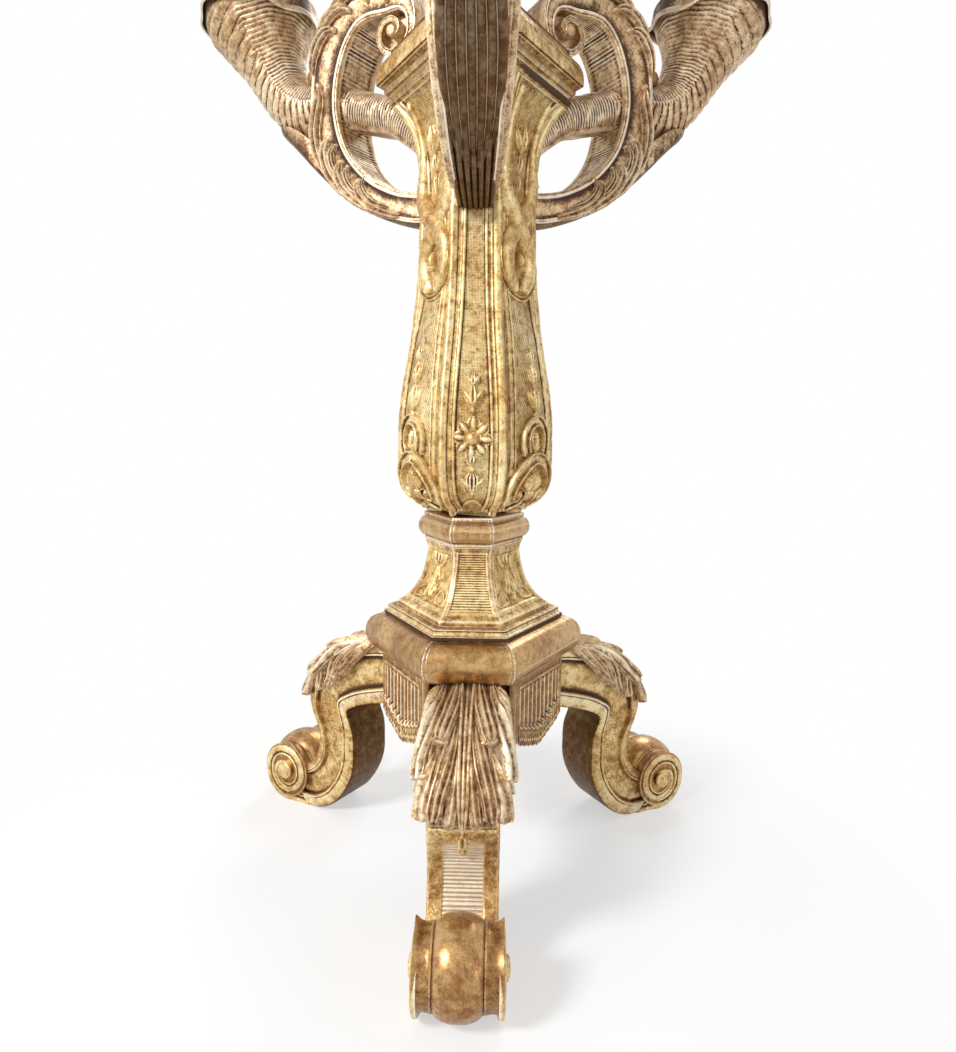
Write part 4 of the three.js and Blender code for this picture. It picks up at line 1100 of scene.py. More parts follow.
# %% Knee leaf
def knee_face(s, v, lift):
    """Across and along the knee, over its edges and down its sides. v is in millimetres from the plinth."""
    s, v, lift = np.broadcast_arrays(np.asarray(s, float), np.asarray(v, float), np.asarray(lift, float))
    outer, _ = leg_lines([24] * 10)
    run = edge_run(outer) - 44           # the plinth covers the first 44 mm
    way = np.gradient(outer, axis=0)
    way /= np.linalg.norm(way, axis=1)[:, None]
    at = [np.interp(v, run, outer[:, i]) for i in (0, 1)]
    out = [np.interp(v, run, -way[:, 1]), np.interp(v, run, way[:, 0])]
    length = np.hypot(*out)
    out = [out[0] / length, out[1] / length]
    corner = 7.0
    past = np.maximum(np.abs(s) - (LEG_HALF - 2), 0)
    bend = np.minimum(past / corner, math.pi / 2)
    down = corner * (1 - np.cos(bend)) + np.maximum(past - corner * math.pi / 2, 0)
    reach = np.minimum(np.abs(s), LEG_HALF - 2) + corner * np.sin(bend)
    raise_, spread = lift * np.cos(bend), lift * np.sin(bend)
    side = np.sign(s)
    return np.stack([at[0] - out[0] * (down - raise_ - 1), side * (reach + spread),
                     at[1] - out[1] * (down - raise_ - 1)], -1)


def blade(name, face, path, width, height, flutes=3, curl=4.0, depth=0.35, count=26, sides=22, sink=2.0,
          blunt=0.12):
    """A fluted leaf lobe along a curved path, pointed at its end, with its tip curled up."""
    spots, ways, run = along(path, count)
    share = run / run[-1]
    body = np.interp(share, [0, 0.12, 0.45, 0.75, 0.92, 1.0], [0.45, 0.7, 1.0, 0.95, 0.62 + blunt / 2, blunt])
    turn = np.linspace(math.pi, 0, sides)
    groove = 1 - depth * (0.5 - 0.5 * np.cos(turn * 2 * flutes))
    half = body[:, None] * width / 2 * np.cos(turn)
    rise = curl * share[:, None] ** 3
    lift = body[:, None] ** 0.7 * height * np.sin(turn) ** 0.75 * groove + rise
    s = spots[:, 0:1] - ways[:, 1:2] * half
    z = spots[:, 1:2] + ways[:, 0:1] * half
    ring = face(s, z, lift)
    under = face(s[:, [-1, 0]], z[:, [-1, 0]], np.broadcast_to(rise - sink, (count, 2)))
    return skin(name, np.concatenate([ring, under, ring[:, :1]], 1))


KNEE_LOBES = [                           # path across and along the knee, width, height, flutes and curl
    ([(13, -12), (15, 20), (18, 48), (23, 72), (27, 90)], 20, 10, 4, 10),
    ([(29, -12), (33, 20), (39, 50), (44, 82), (47, 108), (45, 126)], 18, 9, 4, 9),
    ([(11, 70), (15, 96), (21, 121), (28, 145), (31, 163)], 20, 10, 4, 8),
    ([(6, 92), (8, 120), (11, 148), (15, 172)], 13, 9, 2, 5),
    ([(34, -8), (44, 14), (56, 34), (68, 52), (72, 66)], 16, 8, 3, 8),
    ([(36, 14), (46, 38), (58, 60), (70, 78), (74, 90)], 14, 7, 3, 6),
    ([(40, 40), (50, 66), (62, 86), (72, 100), (76, 114)], 16, 8, 3, 8),
    ([(40, 84), (50, 106), (60, 124), (66, 140)], 15, 8, 3, 7),
    ([(30, 100), (38, 124), (42, 146), (41, 165)], 15, 8, 3, 7),
]


def lobe_with_curl(number, path, width, height, flutes, curl):
    """A lobe, and a small roll across its tip."""
    tip, root = np.array(path[-1], float), np.array(path[-2], float)
    way = (tip - root) / np.linalg.norm(tip - root)
    across = np.array([-way[1], way[0]]) * width * 0.46
    lobe = blade(f"lobe_{number}", knee_face, path, width, height, flutes, curl, depth=0.5, count=34, sides=34,
                 sink=3, blunt=0.6)
    roll_ = bud(f"curl_{number}", lambda s, v, lift: knee_face(s, v, lift + 0.6 * curl), tip - way * 2 - across,
                tip - way * 2 + across, 8.5, 5.5, 1, shape=(0.3, 0.75, 1.0, 1.0, 0.75, 0.3), depth=0.0, sink=6)
    return [lobe, roll_]


def knee_leaf():
    v = np.linspace(-14, 172, 80)
    edge = np.interp(v, [-14, 20, 60, 100, 130, 150, 172], [32, 40, 45, 48, 46, 40, 34])
    u = np.linspace(-1, 1, 41)
    lift = 1.6 + 1.2 * np.abs(np.sin(6 * math.pi * np.abs(u))) ** 0.6         # fine veins
    top = knee_face(edge[:, None] * u, v[:, None], lift)
    low = knee_face(edge[:, None] * u[::-1], v[:, None], -1.5)
    # The bed gets painted shade through its shadow layer, which darkens the gaps between the lobes.
    pieces = [skin("leaf_bed", np.concatenate([top, low, top[:, :1]], 1), layers={"shadow": 0.7})]
    for number, (path, *sizes) in enumerate(KNEE_LOBES):
        for side in (-1, 1):
            pieces += lobe_with_curl(number, [(side * s, v) for s, v in path], *sizes)
    for side in (-1, 1):
        spine = [(7 * side, -12), (5.5 * side, 50), (5 * side, 110), (4.5 * side, 150), (1.5 * side, 178)]
        pieces.append(band("spine", knee_face, spine, (4.5, 4.5, 5, 6, 4), (9, 9.5, 10, 10, 6), CUSHION, 90,
                           sink=0))
    pieces.append(blade("midrib", knee_face, [(0, -12), (0, 40), (0, 100), (0, 150), (0, 182)], 12, 6.5, 2,
                        4, depth=0.5, count=60))
    return pieces


def under_leaf():
    """Cross fillet under the leaf, and the husk that hangs in the channel."""
    pieces = [band("cross_fillet", knee_face, [(-37, 178), (37, 178)], 7, 4.6, CUSHION, 40, (1, 1), 3)]
    pieces.append(bud("hanging", knee_face, (0, 182), (0, 203), 14, 5.0, 3, depth=0.35, sink=6))
    pieces.append(bud("hanging_tip", knee_face, (0, 200), (0, 217), 9, 3.6, 2, depth=0.3, sink=6))
    pieces += fan("hanging_side", knee_face, (0, 196), -11, 7, 3.8, (-50, 50), 1, sink=6)
    return pieces


put_round(joined([leg_body()] + under_leaf(), "leg"), LEGS, "leg_carved_{}", gilt_plain, replaces=["leg_{}"])
put_round(foot_roll(), LEGS, "foot_roll_{}", rubbed_gold)
put_round(joined(foot_plate(), "volute"), LEGS, "foot_volute_{}", gilt)
put_round(joined(knee_leaf(), "leaf"), LEGS, "knee_acanthus_{}", gilt_leaf, replaces=["knee_leaf_{}"])
print("legs and knee leaves in place")

# %% [markdown]
# In the middle of each volute sits a small round button. It is turned from a profile with the spin
# operator, as on a lathe, and copied to both sides of the three feet.

# %% Buttons of the feet
def turned(name, profile, steps=40):
    """Turns a profile of radius and height, in millimetres, round the Z axis."""
    piece = start(name, bpy.ops.mesh.primitive_circle_add, vertices=len(profile), radius=1)
    for corner, (radius, height) in zip(piece.data.vertices, profile):
        corner.co = (radius * MM, 0, height * MM)
    edit(piece,
         (bpy.ops.mesh.spin, {"steps": steps, "angle": 2 * math.pi, "center": (0, 0, 0), "axis": (0, 0, 1)}),
         (bpy.ops.mesh.select_all, {"action": "SELECT"}),
         (bpy.ops.mesh.remove_doubles, {"threshold": 2e-5}),
         (bpy.ops.mesh.normals_make_consistent, {"inside": False}))
    return piece


BUTTON_SEAT = 45.3                       # from the middle of the leg
button = turned("eye", [(0, 0), (11.5, 0), (12.4, 0.8), (12.4, 3.4), (11.6, 4.6), (9.4, 5.6), (6, 6.0),
                        (0, 6.1)])
measure_hollows(button)
soften(button, 30)
for side, degrees in LEGS.items():
    for end, sign in (("left", 1), ("right", -1)):
        twin = copy_of(button)
        twin.data.transform(Matrix.Translation(Vector((FOOT_REACH, sign * BUTTON_SEAT, FOOT_HEIGHT)) * MM)
                            @ Matrix.Rotation(math.radians(-90 * sign), 4, "X"))
        put(twin, f"foot_eye_{side}_{end}", gilt, degrees, [f"foot_boss_{side}_{end}"])
bpy.data.objects.remove(button)
print("feet in place")

# %% [markdown]
# A branch is a flat C-scroll on edge. Its outline is again a list of point pairs, outer and inner.
# The lower end grows out of the shaft, and the upper end winds round itself into a volute. The
# outer face is carved as the back of a leaf, with long flutes, and the inner face has cross ribs.

# %% C-scrolls of the branches
VOLUTE = (108.5, 1069.8)                  # middle of the volute: reach and height


def winding(degrees, radius):
    """A point of the volute."""
    turn = math.radians(degrees)
    return VOLUTE[0] + radius * math.cos(turn), VOLUTE[1] + radius * math.sin(turn)


ARM = [                                   # outer point, inner point, half width
    ((44, 838.1), (44, 874), 21), ((67, 839), (67, 876), 21.5), ((90, 841.7), (88, 878.5), 22.5),
    ((125.3, 851.6), (112, 884.5), 25), ((164.2, 868), (142, 899), 28), ((199.6, 893.4), (164, 917), 31),
    ((226.2, 927.8), (182, 940), 34), ((239.4, 966.7), (193, 968), 35.5), ((242.1, 1010), (197.5, 999.6), 36.5),
    ((237.1, 1054.9), (193, 1034), 36.5), ((220.9, 1093.1), (181, 1065), 35.5), ((192.5, 1120.7), (164, 1086), 34),
    ((155.4, 1135.6), (147, 1092.5), 32.5), ((114.7, 1131.1), (122, 1092), 31)]
ARM += [(winding(*outer), winding(*inner), half) for outer, inner, half in (      # the volute, as angle and radius
    ((118, 49), (108, 24.5), 30), ((151, 38.5), (140, 23.5), 30), ((195, 30.5), (190, 20.5), 30),
    ((240, 28.5), (240, 19.5), 30.5), ((290, 28), (290, 19.5), 31), ((340, 26.5), (340, 18.5), 31.5),
    ((390, 23.5), (390, 15.5), 32), ((440, 19), (440, 11), 32.5), ((490, 14.5), (490, 7), 33),
    ((540, 10.5), (540, 3.5), 33.5), ((590, 8), (585, 1.5), 34))]


def arm_lines(steps):
    """Outer and inner edge of a branch, its half width, and the distance along its outer edge."""
    place = np.linspace(0, len(ARM) - 1, steps)
    knots = np.arange(len(ARM))
    outer = smooth_line(place, knots, np.array([a for a, _, _ in ARM], float))
    inner = smooth_line(place, knots, np.array([b for _, b, _ in ARM], float))
    half = np.interp(place, knots, [w for _, _, w in ARM])
    return outer, inner, half, edge_run(outer)


# Painted shade: the outer faces of the branches, which look down, and their keel leaves are darkened in the finish
# by this much.
BRANCH_SHADE = 0.92                              # how dark the undersides of the branches are


def arm_body():
    outer, inner, half, run = arm_lines(330)
    depth = np.linalg.norm(inner - outer, axis=1)
    ways = (inner - outer) / depth[:, None]
    open_ = 1 - ease(run, 500, 560)          # carving fades out where the volute closes
    share = np.linspace(-1, 1, 71)
    crown = 3.0 * (1 - share ** 2)
    flutes = 3.6 * np.abs(np.sin(math.pi * 3.5 * (share + 1))) ** 0.75
    flutes[np.abs(share) > 0.97] = 0
    rings = []
    for s, rise, flute in zip(share, crown, flutes):
        lift = open_ * (rise + flute - 3.0) - (1 - open_) * 1.0
        line = outer - ways * lift[:, None]
        rings.append(np.stack([line[:, 0], s * half, line[:, 1]], 1))
    flat = [(0.5, -0.6), (2.5, 0.0), (5.0, 0.2), (6.2, -1.2), (8.5, -2.2), (12, -2.4)]
    fillet = [(9.0, -2.4), (7.5, -1.6), (6.8, 0.6), (5.2, 1.2), (3.4, 1.0), (2.6, 0.2), (1.0, 0.0),
              (0.2, -0.6)]
    tight = np.clip(depth / 34, 0.2, 1)      # where the branch is thin, its borders draw in
    sides = ([(near * tight / depth, out) for near, out in flat] + [(0.5, -2.4)]
             + [(1 - near * tight / depth, out) for near, out in fillet])

    def side_lines(sign, order):
        for share, out in order:
            line = outer + (inner - outer) * np.reshape(share, (-1, 1))
            yield np.stack([line[:, 0], sign * (half + out * np.clip(tight * 1.3, 0, 1)), line[:, 1]], 1)

    rings += list(side_lines(1, sides))
    ribs = 1.5 * np.abs(np.sin(math.pi * run / 6.4)) ** 0.8
    for s in np.linspace(0.97, -0.97, 15):
        edge_ = abs(s) > 0.8
        line = inner - ways * (open_ * (0.0 if edge_ else 2.6 - ribs))[:, None]
        rings.append(np.stack([line[:, 0], s * half, line[:, 1]], 1))
    rings += list(side_lines(-1, sides[::-1]))
    rings.append(rings[0])
    # Painted shade on the outer face, the underside, fading out before the volute closes.
    shade_layer = np.zeros((len(run), len(rings)))
    shade_layer[:, :len(share)] = (BRANCH_SHADE * (1 - ease(run, 330, 470)))[:, None]
    return skin("arm", np.stack(rings, 1), sharp=36, layers={"shadow": shade_layer})


# %% [markdown]
# Small leaves are laid along both sides of the branch, each with a curled tip. Below, a broad leaf
# leaves the branch and runs out under the horn. The volute is closed by a disc with a round eye.

# %% Leaves and volute of the branches
def arm_side(sign):
    """The side of a branch as a face: distance along its outer edge, distance in from that edge."""
    outer, inner, half, run = arm_lines(700)             # finer than the body, to place points on it
    way = (inner - outer) / np.linalg.norm(inner - outer, axis=1)[:, None]

    def face(s, z, lift):
        s, z, lift = np.broadcast_arrays(np.asarray(s, float), np.asarray(z, float), np.asarray(lift, float))
        at = [np.interp(s, run, outer[:, i]) for i in (0, 1)]
        to = [np.interp(s, run, way[:, i]) for i in (0, 1)]
        wide = np.interp(s, run, half)
        return np.stack([at[0] + to[0] * z, sign * (wide - 1.5 + lift), at[1] + to[1] * z], -1)
    return face


ARM_LEAVES = [                            # path along the branch and in from its outer edge, width, height
    ([(62, 5), (95, 5), (122, 8), (142, 16), (152, 27)], 12, 7),
    ([(86, 12), (112, 13), (130, 18), (143, 27), (146, 35)], 8, 5.5),
    ([(104, 3), (140, 4), (170, 8), (190, 17), (200, 29)], 13, 8),
    ([(128, 12), (156, 15), (176, 22), (186, 32)], 8, 6),
    ([(150, 2), (186, 3), (214, 8), (234, 17), (243, 27)], 14, 8.5),
    ([(176, 12), (204, 15), (222, 23), (229, 33)], 8, 6),
    ([(196, 0), (228, 1), (258, 5), (284, 13), (303, 18), (318, 16)], 15, 10),
    ([(330, 2), (352, 0), (372, 3), (388, 10), (394, 18)], 13, 9),
    ([(366, 1), (388, -1), (408, 2), (424, 10), (430, 19)], 13, 9),
    ([(402, 2), (424, -1), (446, 2), (462, 10), (468, 20)], 13, 9),
    ([(440, 3), (462, 1), (484, 4), (500, 12), (506, 22)], 12, 8),
]


def arm_leaves():
    pieces = []
    for sign in (-1, 1):
        face = arm_side(sign)
        for number, (path, width, height) in enumerate(ARM_LEAVES):
            pieces.append(blade(f"arm_leaf_{number}", face, path, width * 1.25, height * 1.1, 3, 2.5,
                                depth=0.5, count=34, sides=24, sink=3))
            tip = np.array(path[-1], float)
            pieces.append(boss(f"arm_curl_{number}", face, tip, width * 0.36, height * 0.75, 5, 14))
    return pieces


def keel_leaf():
    """The leaf that leaves the branch and runs out along the horn's underside."""
    low = [(150, 861), (175, 872.5), (200, 889), (225, 909.5), (250, 932), (275, 954.5), (298, 973),
           (316, 986), (326, 996)]
    top = [(160, 886), (185, 905), (210, 926), (235, 950), (258, 970), (280, 984), (300, 992), (317, 996),
           (326, 999)]
    half = [15, 24, 30, 33, 34, 32, 27, 17, 4]
    place = np.linspace(0, len(low) - 1, 90)
    knots = np.arange(len(low))
    a, b = smooth_line(place, knots, np.array(low, float)), smooth_line(place, knots, np.array(top, float))
    wide_now = np.interp(place, knots, half)
    ways = (b - a) / np.linalg.norm(b - a, axis=1)[:, None]
    share = np.linspace(-1, 1, 71)
    rings = []
    for s in share:
        wing = 8 * s ** 4                # its sides curl down
        flute = 4.6 * abs(math.sin(math.pi * 3.5 * (s + 1))) ** 0.7
        line = a + ways * (wing - flute * np.clip(wide_now / 20, 0, 1))[:, None]
        rings.append(np.stack([line[:, 0], s * wide_now, line[:, 1]], 1))
    for s in (0.96, 0.5, 0, -0.5, -0.96):
        line = b + ways * (0 if abs(s) > 0.6 else -2)
        rings.append(np.stack([line[:, 0], s * wide_now * 0.94, line[:, 1]], 1))
    rings.append(rings[0])
    # Painted shade on the fluted underside of the keel leaf.
    shade_layer = np.where(np.arange(len(rings)) < len(share), BRANCH_SHADE, 0.0)[None, :]
    return skin("keel", np.stack(rings, 1), sharp=40, layers={"shadow": shade_layer})


def volute_web():
    """The sunk disc that closes the volute, and its round eye."""
    pieces = []
    for radius, half in ((24.5, 17), (7.5, 37)):
        piece = start("web", bpy.ops.mesh.primitive_cylinder_add, vertices=40, radius=radius * MM,
                      depth=2 * half * MM)
        edit(piece, (bpy.ops.transform.rotate, {"value": math.radians(90), "orient_axis": "X",
                                                "center_override": (0, 0, 0)}))
        bevel = piece.modifiers.new("round", "BEVEL")
        bevel.width, bevel.segments, bevel.limit_method = 3.2 * MM, 4, "ANGLE"
        bpy.ops.object.modifier_apply(modifier="round")
        piece.data.transform(Matrix.Translation((VOLUTE[0] * MM, 0, VOLUTE[1] * MM)))
        soften(piece)
        pieces.append(piece)
    return pieces


put_round(joined([arm_body(), keel_leaf()] + volute_web() + arm_leaves(), "arm"), LEGS, "branch_scroll_{}",
          gilt_leaf, replaces=["c_scroll_{}"])
print("branches in place")

# %% [markdown]
# Through each branch grows a horn. Its stations give the middle and the thickness. Outside, growth
# ridges run round its lower half, two seams divide them from the finely wrinkled back, and the
# mouth rolls over into a lip with seven lobes. Inside the C-scroll only a root with a rope is seen.

# %% Horns and their roots
# Middle of the horn at its stations, as reach and height, and its thickness from the middle.
HORN = [(36.7, 894.2, 17), (62, 930, 19), (85.9, 953.6, 21.5), (117.5, 976.1, 23.5), (146.9, 986, 24.5),
        (183.6, 997, 25.5), (225, 1006, 28.8), (262.1, 1007.1, 32.9), (290, 1018, 34), (311, 1034, 35),
        (328.2, 1058, 38.2), (340, 1080, 43), (348, 1098, 51), (354.3, 1114, 60), (361.3, 1135, 72),
        (365, 1147, 78)]
# Radius and height of the lip's section, from its outer edge over the rim and down into the mouth.
LIP = [(80, -3), (83.2, -7.5), (85.5, -6.5), (85.9, -3.2), (84.6, -0.6), (80, 0), (75, -1.2), (69, -4.5),
       (61, -11), (51, -21), (42, -30), (34, -35.4), (27, -36.2), (12, -36.2)]
RIM = (367.13, 1157.0)                   # middle of the rim
SEAM = math.radians(76)                  # where the seams run, counted from the horn's back
CURVE = math.radians(138)                # the growth ridges bow out most here


def horn_skin(name, first, last, rows, ridged):
    """The horn between two stations: the ridged part with its mouth, or the plain root."""
    place = np.linspace(first, last, rows)
    knots = np.arange(len(HORN))
    middle = smooth_line(place, knots, np.array([(a, b) for a, b, _ in HORN], float))
    radius = smooth_line(place, knots, np.array([[r] for _, _, r in HORN], float))[:, 0]
    way = np.gradient(middle, axis=0)
    way /= np.linalg.norm(way, axis=1)[:, None]
    run = edge_run(middle)
    turn = np.linspace(0, 2 * math.pi, 97)
    side = np.abs((turn + math.pi) % (2 * math.pi) - math.pi)           # 0 on the back, pi underneath
    rings = []
    phase = 0.0
    for i in range(rows):
        if ridged:
            pitch = 9.5 + 7.5 * (i / rows)       # the ridges get wider towards the mouth
            phase += (run[i] - run[i - 1]) / pitch if i else 0
            under = ease(side, math.radians(74), math.radians(92))
            bow = (0.42 * ((side - CURVE) / math.radians(52)) ** 2
                   + 0.07 * np.sin(5 * turn + 1.7 * math.floor(phase)))
            wave = (phase - bow) % 1.0
            ridge = under * (np.sin(math.pi * wave ** 0.7) ** 0.8 - 0.6) * (3.8 + 3.8 * i / rows)
            crease = run[i] * 1.15 + 1.6 * np.sin(3 * turn) + 0.7 * np.sin(11 * turn)
            wrinkle = (1 - under) * 0.75 * np.sin(crease)
            seam = 1.8 * np.exp(-((side - SEAM) / math.radians(3.2)) ** 2)
            lift = (ridge + wrinkle + seam) * ease(np.array(rows - 1 - i, float), 0, 5)
        else:
            ripple = 0.8 * np.sin(run[i] * 1.5 + 1.3 * np.sin(2 * turn))
            rope = 2.6 * np.exp(-((side - math.radians(150)) / math.radians(9)) ** 2)
            lift = ripple * (side < math.radians(135)) + rope
        r = radius[i] + lift
        out, up_ = r * np.sin(turn), r * np.cos(turn)
        rings.append(np.stack([middle[i, 0] - way[i, 1] * up_, -out, middle[i, 1] + way[i, 0] * up_], 1))
    if ridged:
        lobe = np.cos(7 * turn)
        for r, z in LIP:
            outer_part = max(0.0, min(1.0, (r - 40) / 45))
            reach = r * (1 + 0.035 * lobe * outer_part)
            droop = outer_part ** 3 * (11 * np.cos(turn) ** 4 + 2.5 * (1 - lobe))
            rings.append(np.stack([RIM[0] - reach * np.cos(turn), -reach * np.sin(turn),
                                   RIM[1] + z - droop], 1))
    # Painted shade: the last rows of the horn and the lip round its mouth are darkened through the shadow layer.
    mouth = np.where(np.arange(len(rings)) >= rows - 8, 0.35, 0.0)[:, None] * ridged
    return skin(name, np.array(rings), sharp=50, layers={"shadow": mouth})


def berry():
    piece = start("berry", bpy.ops.mesh.primitive_uv_sphere_add, segments=32, ring_count=18, radius=12.5 * MM)
    piece.data.transform(Matrix.Translation((264.6 * MM, 0, 1055 * MM)))
    soften(piece, 60)
    return piece


put_round(horn_skin("horn", 5.1, 15, 260, True), LEGS, "horn_carved_{}", gilt_leaf, replaces=["horn_{}"])
put_round(horn_skin("root", 0.6, 5.3, 90, False), LEGS, "horn_root_carved_{}", gilt_leaf,
          replaces=["horn_root_{}"])
put_round(berry(), LEGS, "berry_round_{}", gilt_dark, replaces=["berry_{}"])
print("horns, roots and berries in place")

# %% [markdown]
# The socle flares down to the plinth. Its narrow faces hold a sunk panel with fine cross ribs, its
# wide faces a frame with a hanging lambrequin, strings of husks and two lozenges. One ring of
# points goes round all six faces at each height, so the corners stay closed.

# %% Socle
SOCLE = [(342.3, 104), (348, 104), (353, 95.6), (360, 87.6), (367.8, 80.9), (375, 75.9), (383.4, 71.2),
         (394, 67.4), (404.6, 64.9), (421, 62), (428, 63.2), (434, 66)]

# Half width and distance of a face, for a corner one millimetre from the axis: narrow, then wide.
SOCLE_FACES = {True: (0.3665, 0.9304), False: (0.6225, 0.7826)}


def socle_corner(z):
    return np.interp(z, [h for h, _ in SOCLE], [r for _, r in SOCLE])


def socle_wide(s, z, lift):
    """Point of a wide face of the socle: s across, z up, lift out."""
    s, z, lift = np.broadcast_arrays(*(np.asarray(v, float) for v in (s, z, lift)))
    return np.stack([socle_corner(z) * SOCLE_FACES[False][1] + lift, s, z], -1)


def socle_body():
    z = np.unique(np.concatenate([np.linspace(342.3, 354, 12), np.linspace(354, 424, 141),
                                  np.linspace(424, 434, 8)]))
    corner = socle_corner(z)
    sections = []
    for number in range(6):
        narrow, middle = number % 2 == 0, math.radians(60 * number)
        share, away = SOCLE_FACES[narrow]
        half = corner[:, None] * share
        s = np.linspace(-1, 1, 35 if narrow else 57)[None, :-1] * half
        edge = half - np.abs(s)
        zz = np.broadcast_to(z[:, None], s.shape)
        inside = (zz > 353) & (zz < 427)
        if narrow:
            panel = ease(edge, 5.4, 6.6) * ease(zz, 356, 357.5) * (1 - ease(zz, 423.5, 425))
            line = 0.9 * np.exp(-((edge - 4.6) / 0.9) ** 2) * inside
            lift = line - 3.0 * panel + panel * 1.5 * np.abs(np.sin(math.pi * zz / 2.9)) ** 0.8
        else:
            panel = ease(edge, 6.4, 7.6) * ease(zz, 357, 359) * (1 - ease(zz, 421, 423))
            lift = np.exp(-((edge - 5.4) / 1.0) ** 2) * inside - 3.0 * panel
        lift = lift - 1.0 * (1 - ease(edge, 0, 1.4))                     # rounds the corner
        x = corner[:, None] * away + lift
        sections.append(np.stack([x * math.cos(middle) - s * math.sin(middle),
                                  x * math.sin(middle) + s * math.cos(middle), zz], -1))
    ring = np.concatenate(sections, 1)
    return skin("socle", np.concatenate([ring, ring[:, :1]], 1), sharp=40)


def socle_ornaments():
    pieces = []
    pieces.append(band("lambrequin", socle_wide, hanging_arc(424, 17, 20, 84, 14), 6.5, 4.5, CUSHION, 50,
                       (1, 1), 4))
    pieces.append(bud("lambrequin_drop", socle_wide, (0, 423), (0, 406), 17, 5, 3, depth=0.35, sink=4))
    for side in (-1, 1):
        for width, strand in ((8, [(2, 407), (7, 396), (9, 384), (15, 373)]),
                              (7, [(1, 399), (3, 386), (5, 374), (7, 364)])):
            path = [(side * s, z) for s, z in strand]
            pieces.append(blade("strand", socle_wide, path, width, 5.5, 2, 2, sink=4))
        pieces += fan("strand_leaf", socle_wide, (7 * side, 391), -9, 5, 4.5, (side * -40, side * -75), 1,
                      sink=4)
        lozenge = [(20 * side, 377), (32 * side, 372), (42 * side, 362), (28 * side, 361), (17 * side, 364),
                   (20 * side, 377)]
        pieces.append(band("lozenge", socle_wide, lozenge, 2.8, 2.4, CUSHION, 60, (0.2, 0.2), 3.2))
    pieces.append(bud("middle_husk", socle_wide, (0, 388), (0, 366), 8, 6, 3, depth=0.35, sink=4))
    return pieces


put(socle_body(), "socle_carved", gilt_edges, FIRST_LEG, ["socle"])
put_round(joined(socle_ornaments(), "hangings"), BETWEEN, "socle_hangings_{}", gilt)
print("socle in place")

# %% [markdown]
# The panels between the legs hang like cloth: a plain strip at each end, tall flutes, a rope across
# them and a fringe whose lower edge steps down in scallops to the middle.

# %% Hanging panels
APRON_AWAY, APRON_HALF, APRON_TOP = 104.1, 64.4, 277.0      # distance from the axis, half width, top
APRON_FLUTE = 11.2                       # from flute to flute


def fringe_edge(s):
    """Height of the panel's lower edge."""
    part = 1 - np.abs(s) / 58
    scallop = np.abs(np.sin(math.pi * s / APRON_FLUTE)) ** 0.7 * (part > 0)
    return 197 - 21 * np.clip(part, 0, 1) ** 0.8 - 3.2 * scallop


def apron():
    s = np.linspace(-APRON_HALF, APRON_HALF, 175)
    share = np.linspace(0, 1, 110)
    low = fringe_edge(s)
    z = low[None, :] + (APRON_TOP - low)[None, :] * share[:, None]
    ss = np.broadcast_to(s, z.shape)
    above = z - low[None, :]
    inner = 1 - ease(np.abs(ss), 54.5, 56.0)             # between the plain strips
    tall = ease(above, 27, 29) * (1 - ease(z, 262, 264)) * np.abs(np.cos(math.pi * ss / APRON_FLUTE)) ** 0.7
    rope = np.exp(-((above - 24) / 3.0) ** 2) * (0.75 + 0.25 * np.sin((ss + above) * 1.9))
    small = 2.4 * np.abs(np.sin(math.pi * 2 * ss / APRON_FLUTE)) ** 0.6
    small = small + 1.2 * np.exp(-((above - 9) / 2.4) ** 2)
    fringe = (1 - ease(above, 19.5, 21.5)) * (small - 1.2)
    ledge = np.exp(-((z - 267) / 2.2) ** 2)
    lift = 1.0 + 1.2 * np.exp(-((np.abs(ss) - 60) / 3.2) ** 2)
    lift = lift + inner * (3.0 * rope - 3.6 * tall + fringe + 1.6 * ledge)
    lift[0] -= 1.2
    front = np.stack([APRON_AWAY - 2.2 + lift, ss, z], -1)
    ends = [-1, 0]
    back = np.stack([np.full((len(z), 2), APRON_AWAY - 10.0), ss[:, ends], z[:, ends]], -1)
    return skin("apron", np.concatenate([front, back, front[:, :1]], 1), sharp=40)


put_round(apron(), BETWEEN, "apron_carved_{}", gilt_dark, replaces=["apron_panel_{}"])
print("hanging panels in place")

# %% [markdown]
# Above the photograph's upper edge the stand is guessed from its kind: a hollow six-sided stem, a
# flat top, and a turned cup with a drip pan and nozzle in each horn.

# %% Upper stem, flat top and candle cups
stem = moulding("stem", [(60, 1042.3), (60, 1046), (59, 1047), (59.4, 1050), (60, 1051), (57, 1055),
                         (53.4, 1060), (50.4, 1064.4), (46.6, 1072), (43.2, 1081), (40.8, 1090), (38, 1103),
                         (36, 1118.8), (36.2, 1136), (37.9, 1150.8), (40.6, 1164), (44.4, 1176.4),
                         (49.4, 1186), (55.2, 1192), (58, 1192.6), (58.4, 1194), (60, 1194.4), (60, 1202)])
put(stem, "upper_stem_carved", gilt_edges, FIRST_LEG, ["upper_stem"])

top = moulding("top", [(66, 1202.3), (70, 1204.6), (76, 1208.4), (84, 1210.6), (102, 1213), (104, 1214.4),
                       (122, 1216.2), (124, 1216.7)]
               + roll(133, 1231.4, 17, 13.8, -86, 78, 16) + [(134, 1246.6), (132, 1248)])
put(top, "flat_top", burnished, FIRST_LEG, ["platform"])

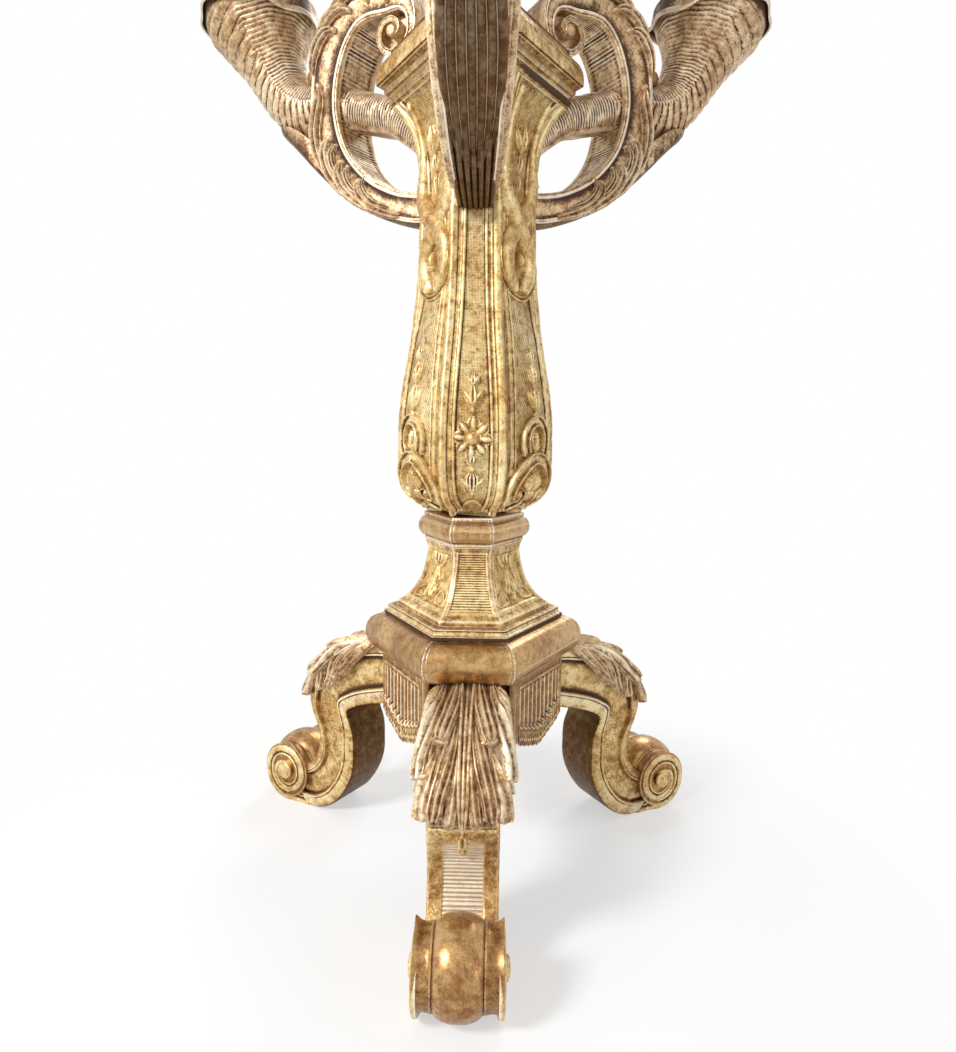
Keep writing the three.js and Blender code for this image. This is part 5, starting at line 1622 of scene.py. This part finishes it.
CUP_BASE, CUP_PAN, CUP_TOP = 1131.3, 1171.6, 1227.3
foot = [(0, 0), (24, 0), (24, 4), (20, 6), (12.5, 10), (9.4, 15), (9, 19), (10.6, 23), (13, 25), (13, 27.4),
        (11.4, 29)]
pan = [(14, -8), (30, -6.4), (44, -4), (52, 0), (56, 5), (55.6, 6.8), (54, 7), (50, 3), (43, 0.6),
       (24, -0.4), (15, 0), (14, 1.6), (15, 5), (17, 12), (17.6, 15), (16.4, 17), (15, 26)]
nozzle = [(15, -14), (16.4, -9), (20, -4.5), (22, -3), (22.2, -1.2), (21, 0), (12.6, 0), (11.5, -1),
          (11.5, -40), (0, -40)]
cup_parts = ((CUP_BASE, foot), (CUP_PAN, pan), (CUP_TOP, nozzle))
cup = turned("cup", [(radius, level + height) for level, part in cup_parts for radius, height in part], 56)
cup.data.transform(Matrix.Translation((RIM[0] * MM, 0, 0)))
measure_hollows(cup)
soften(cup, 32)
put_round(cup, LEGS, "cup_turned_{}", gilt_plain, replaces=["candle_cup_{}"])
print("upper parts in place:", sum(made.values()), "triangles in", len(made), "pieces")

# %% [markdown]
# What is left of the CAD model is the wood inside: tenons, dowels and the block between the legs.
# It gets a plain brown wood finish with a faint grain, and any other node that is left gets the carving's gilding.

# %% Finish
wood = Recipe("bare_wood")
stretched = wood.add("ShaderNodeMapping", None, {
    "Vector": wood.add("ShaderNodeTexCoord", None, None, out="Object"), "Scale": (1.0, 1.0, 0.08)})
fibre = wood.noise(stretched, 260, 3, 0.5)
wood_shader = wood.add("ShaderNodeBsdfPrincipled", None, {
    "Base Color": wood.mix(fibre, srgb(126, 92, 58), srgb(86, 60, 36)), "Roughness": 0.7})
wood.add("ShaderNodeOutputMaterial", None, {"Surface": wood_shader})
HIDDEN = ("tenon", "leg_dowel", "branch_dowel", "horn_dowel", "apron_block")
for name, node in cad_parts.items():
    if not node.hide_render:
        node.data.materials.clear()
        node.data.materials.append(wood.block if name.startswith(HIDDEN) else gilt)
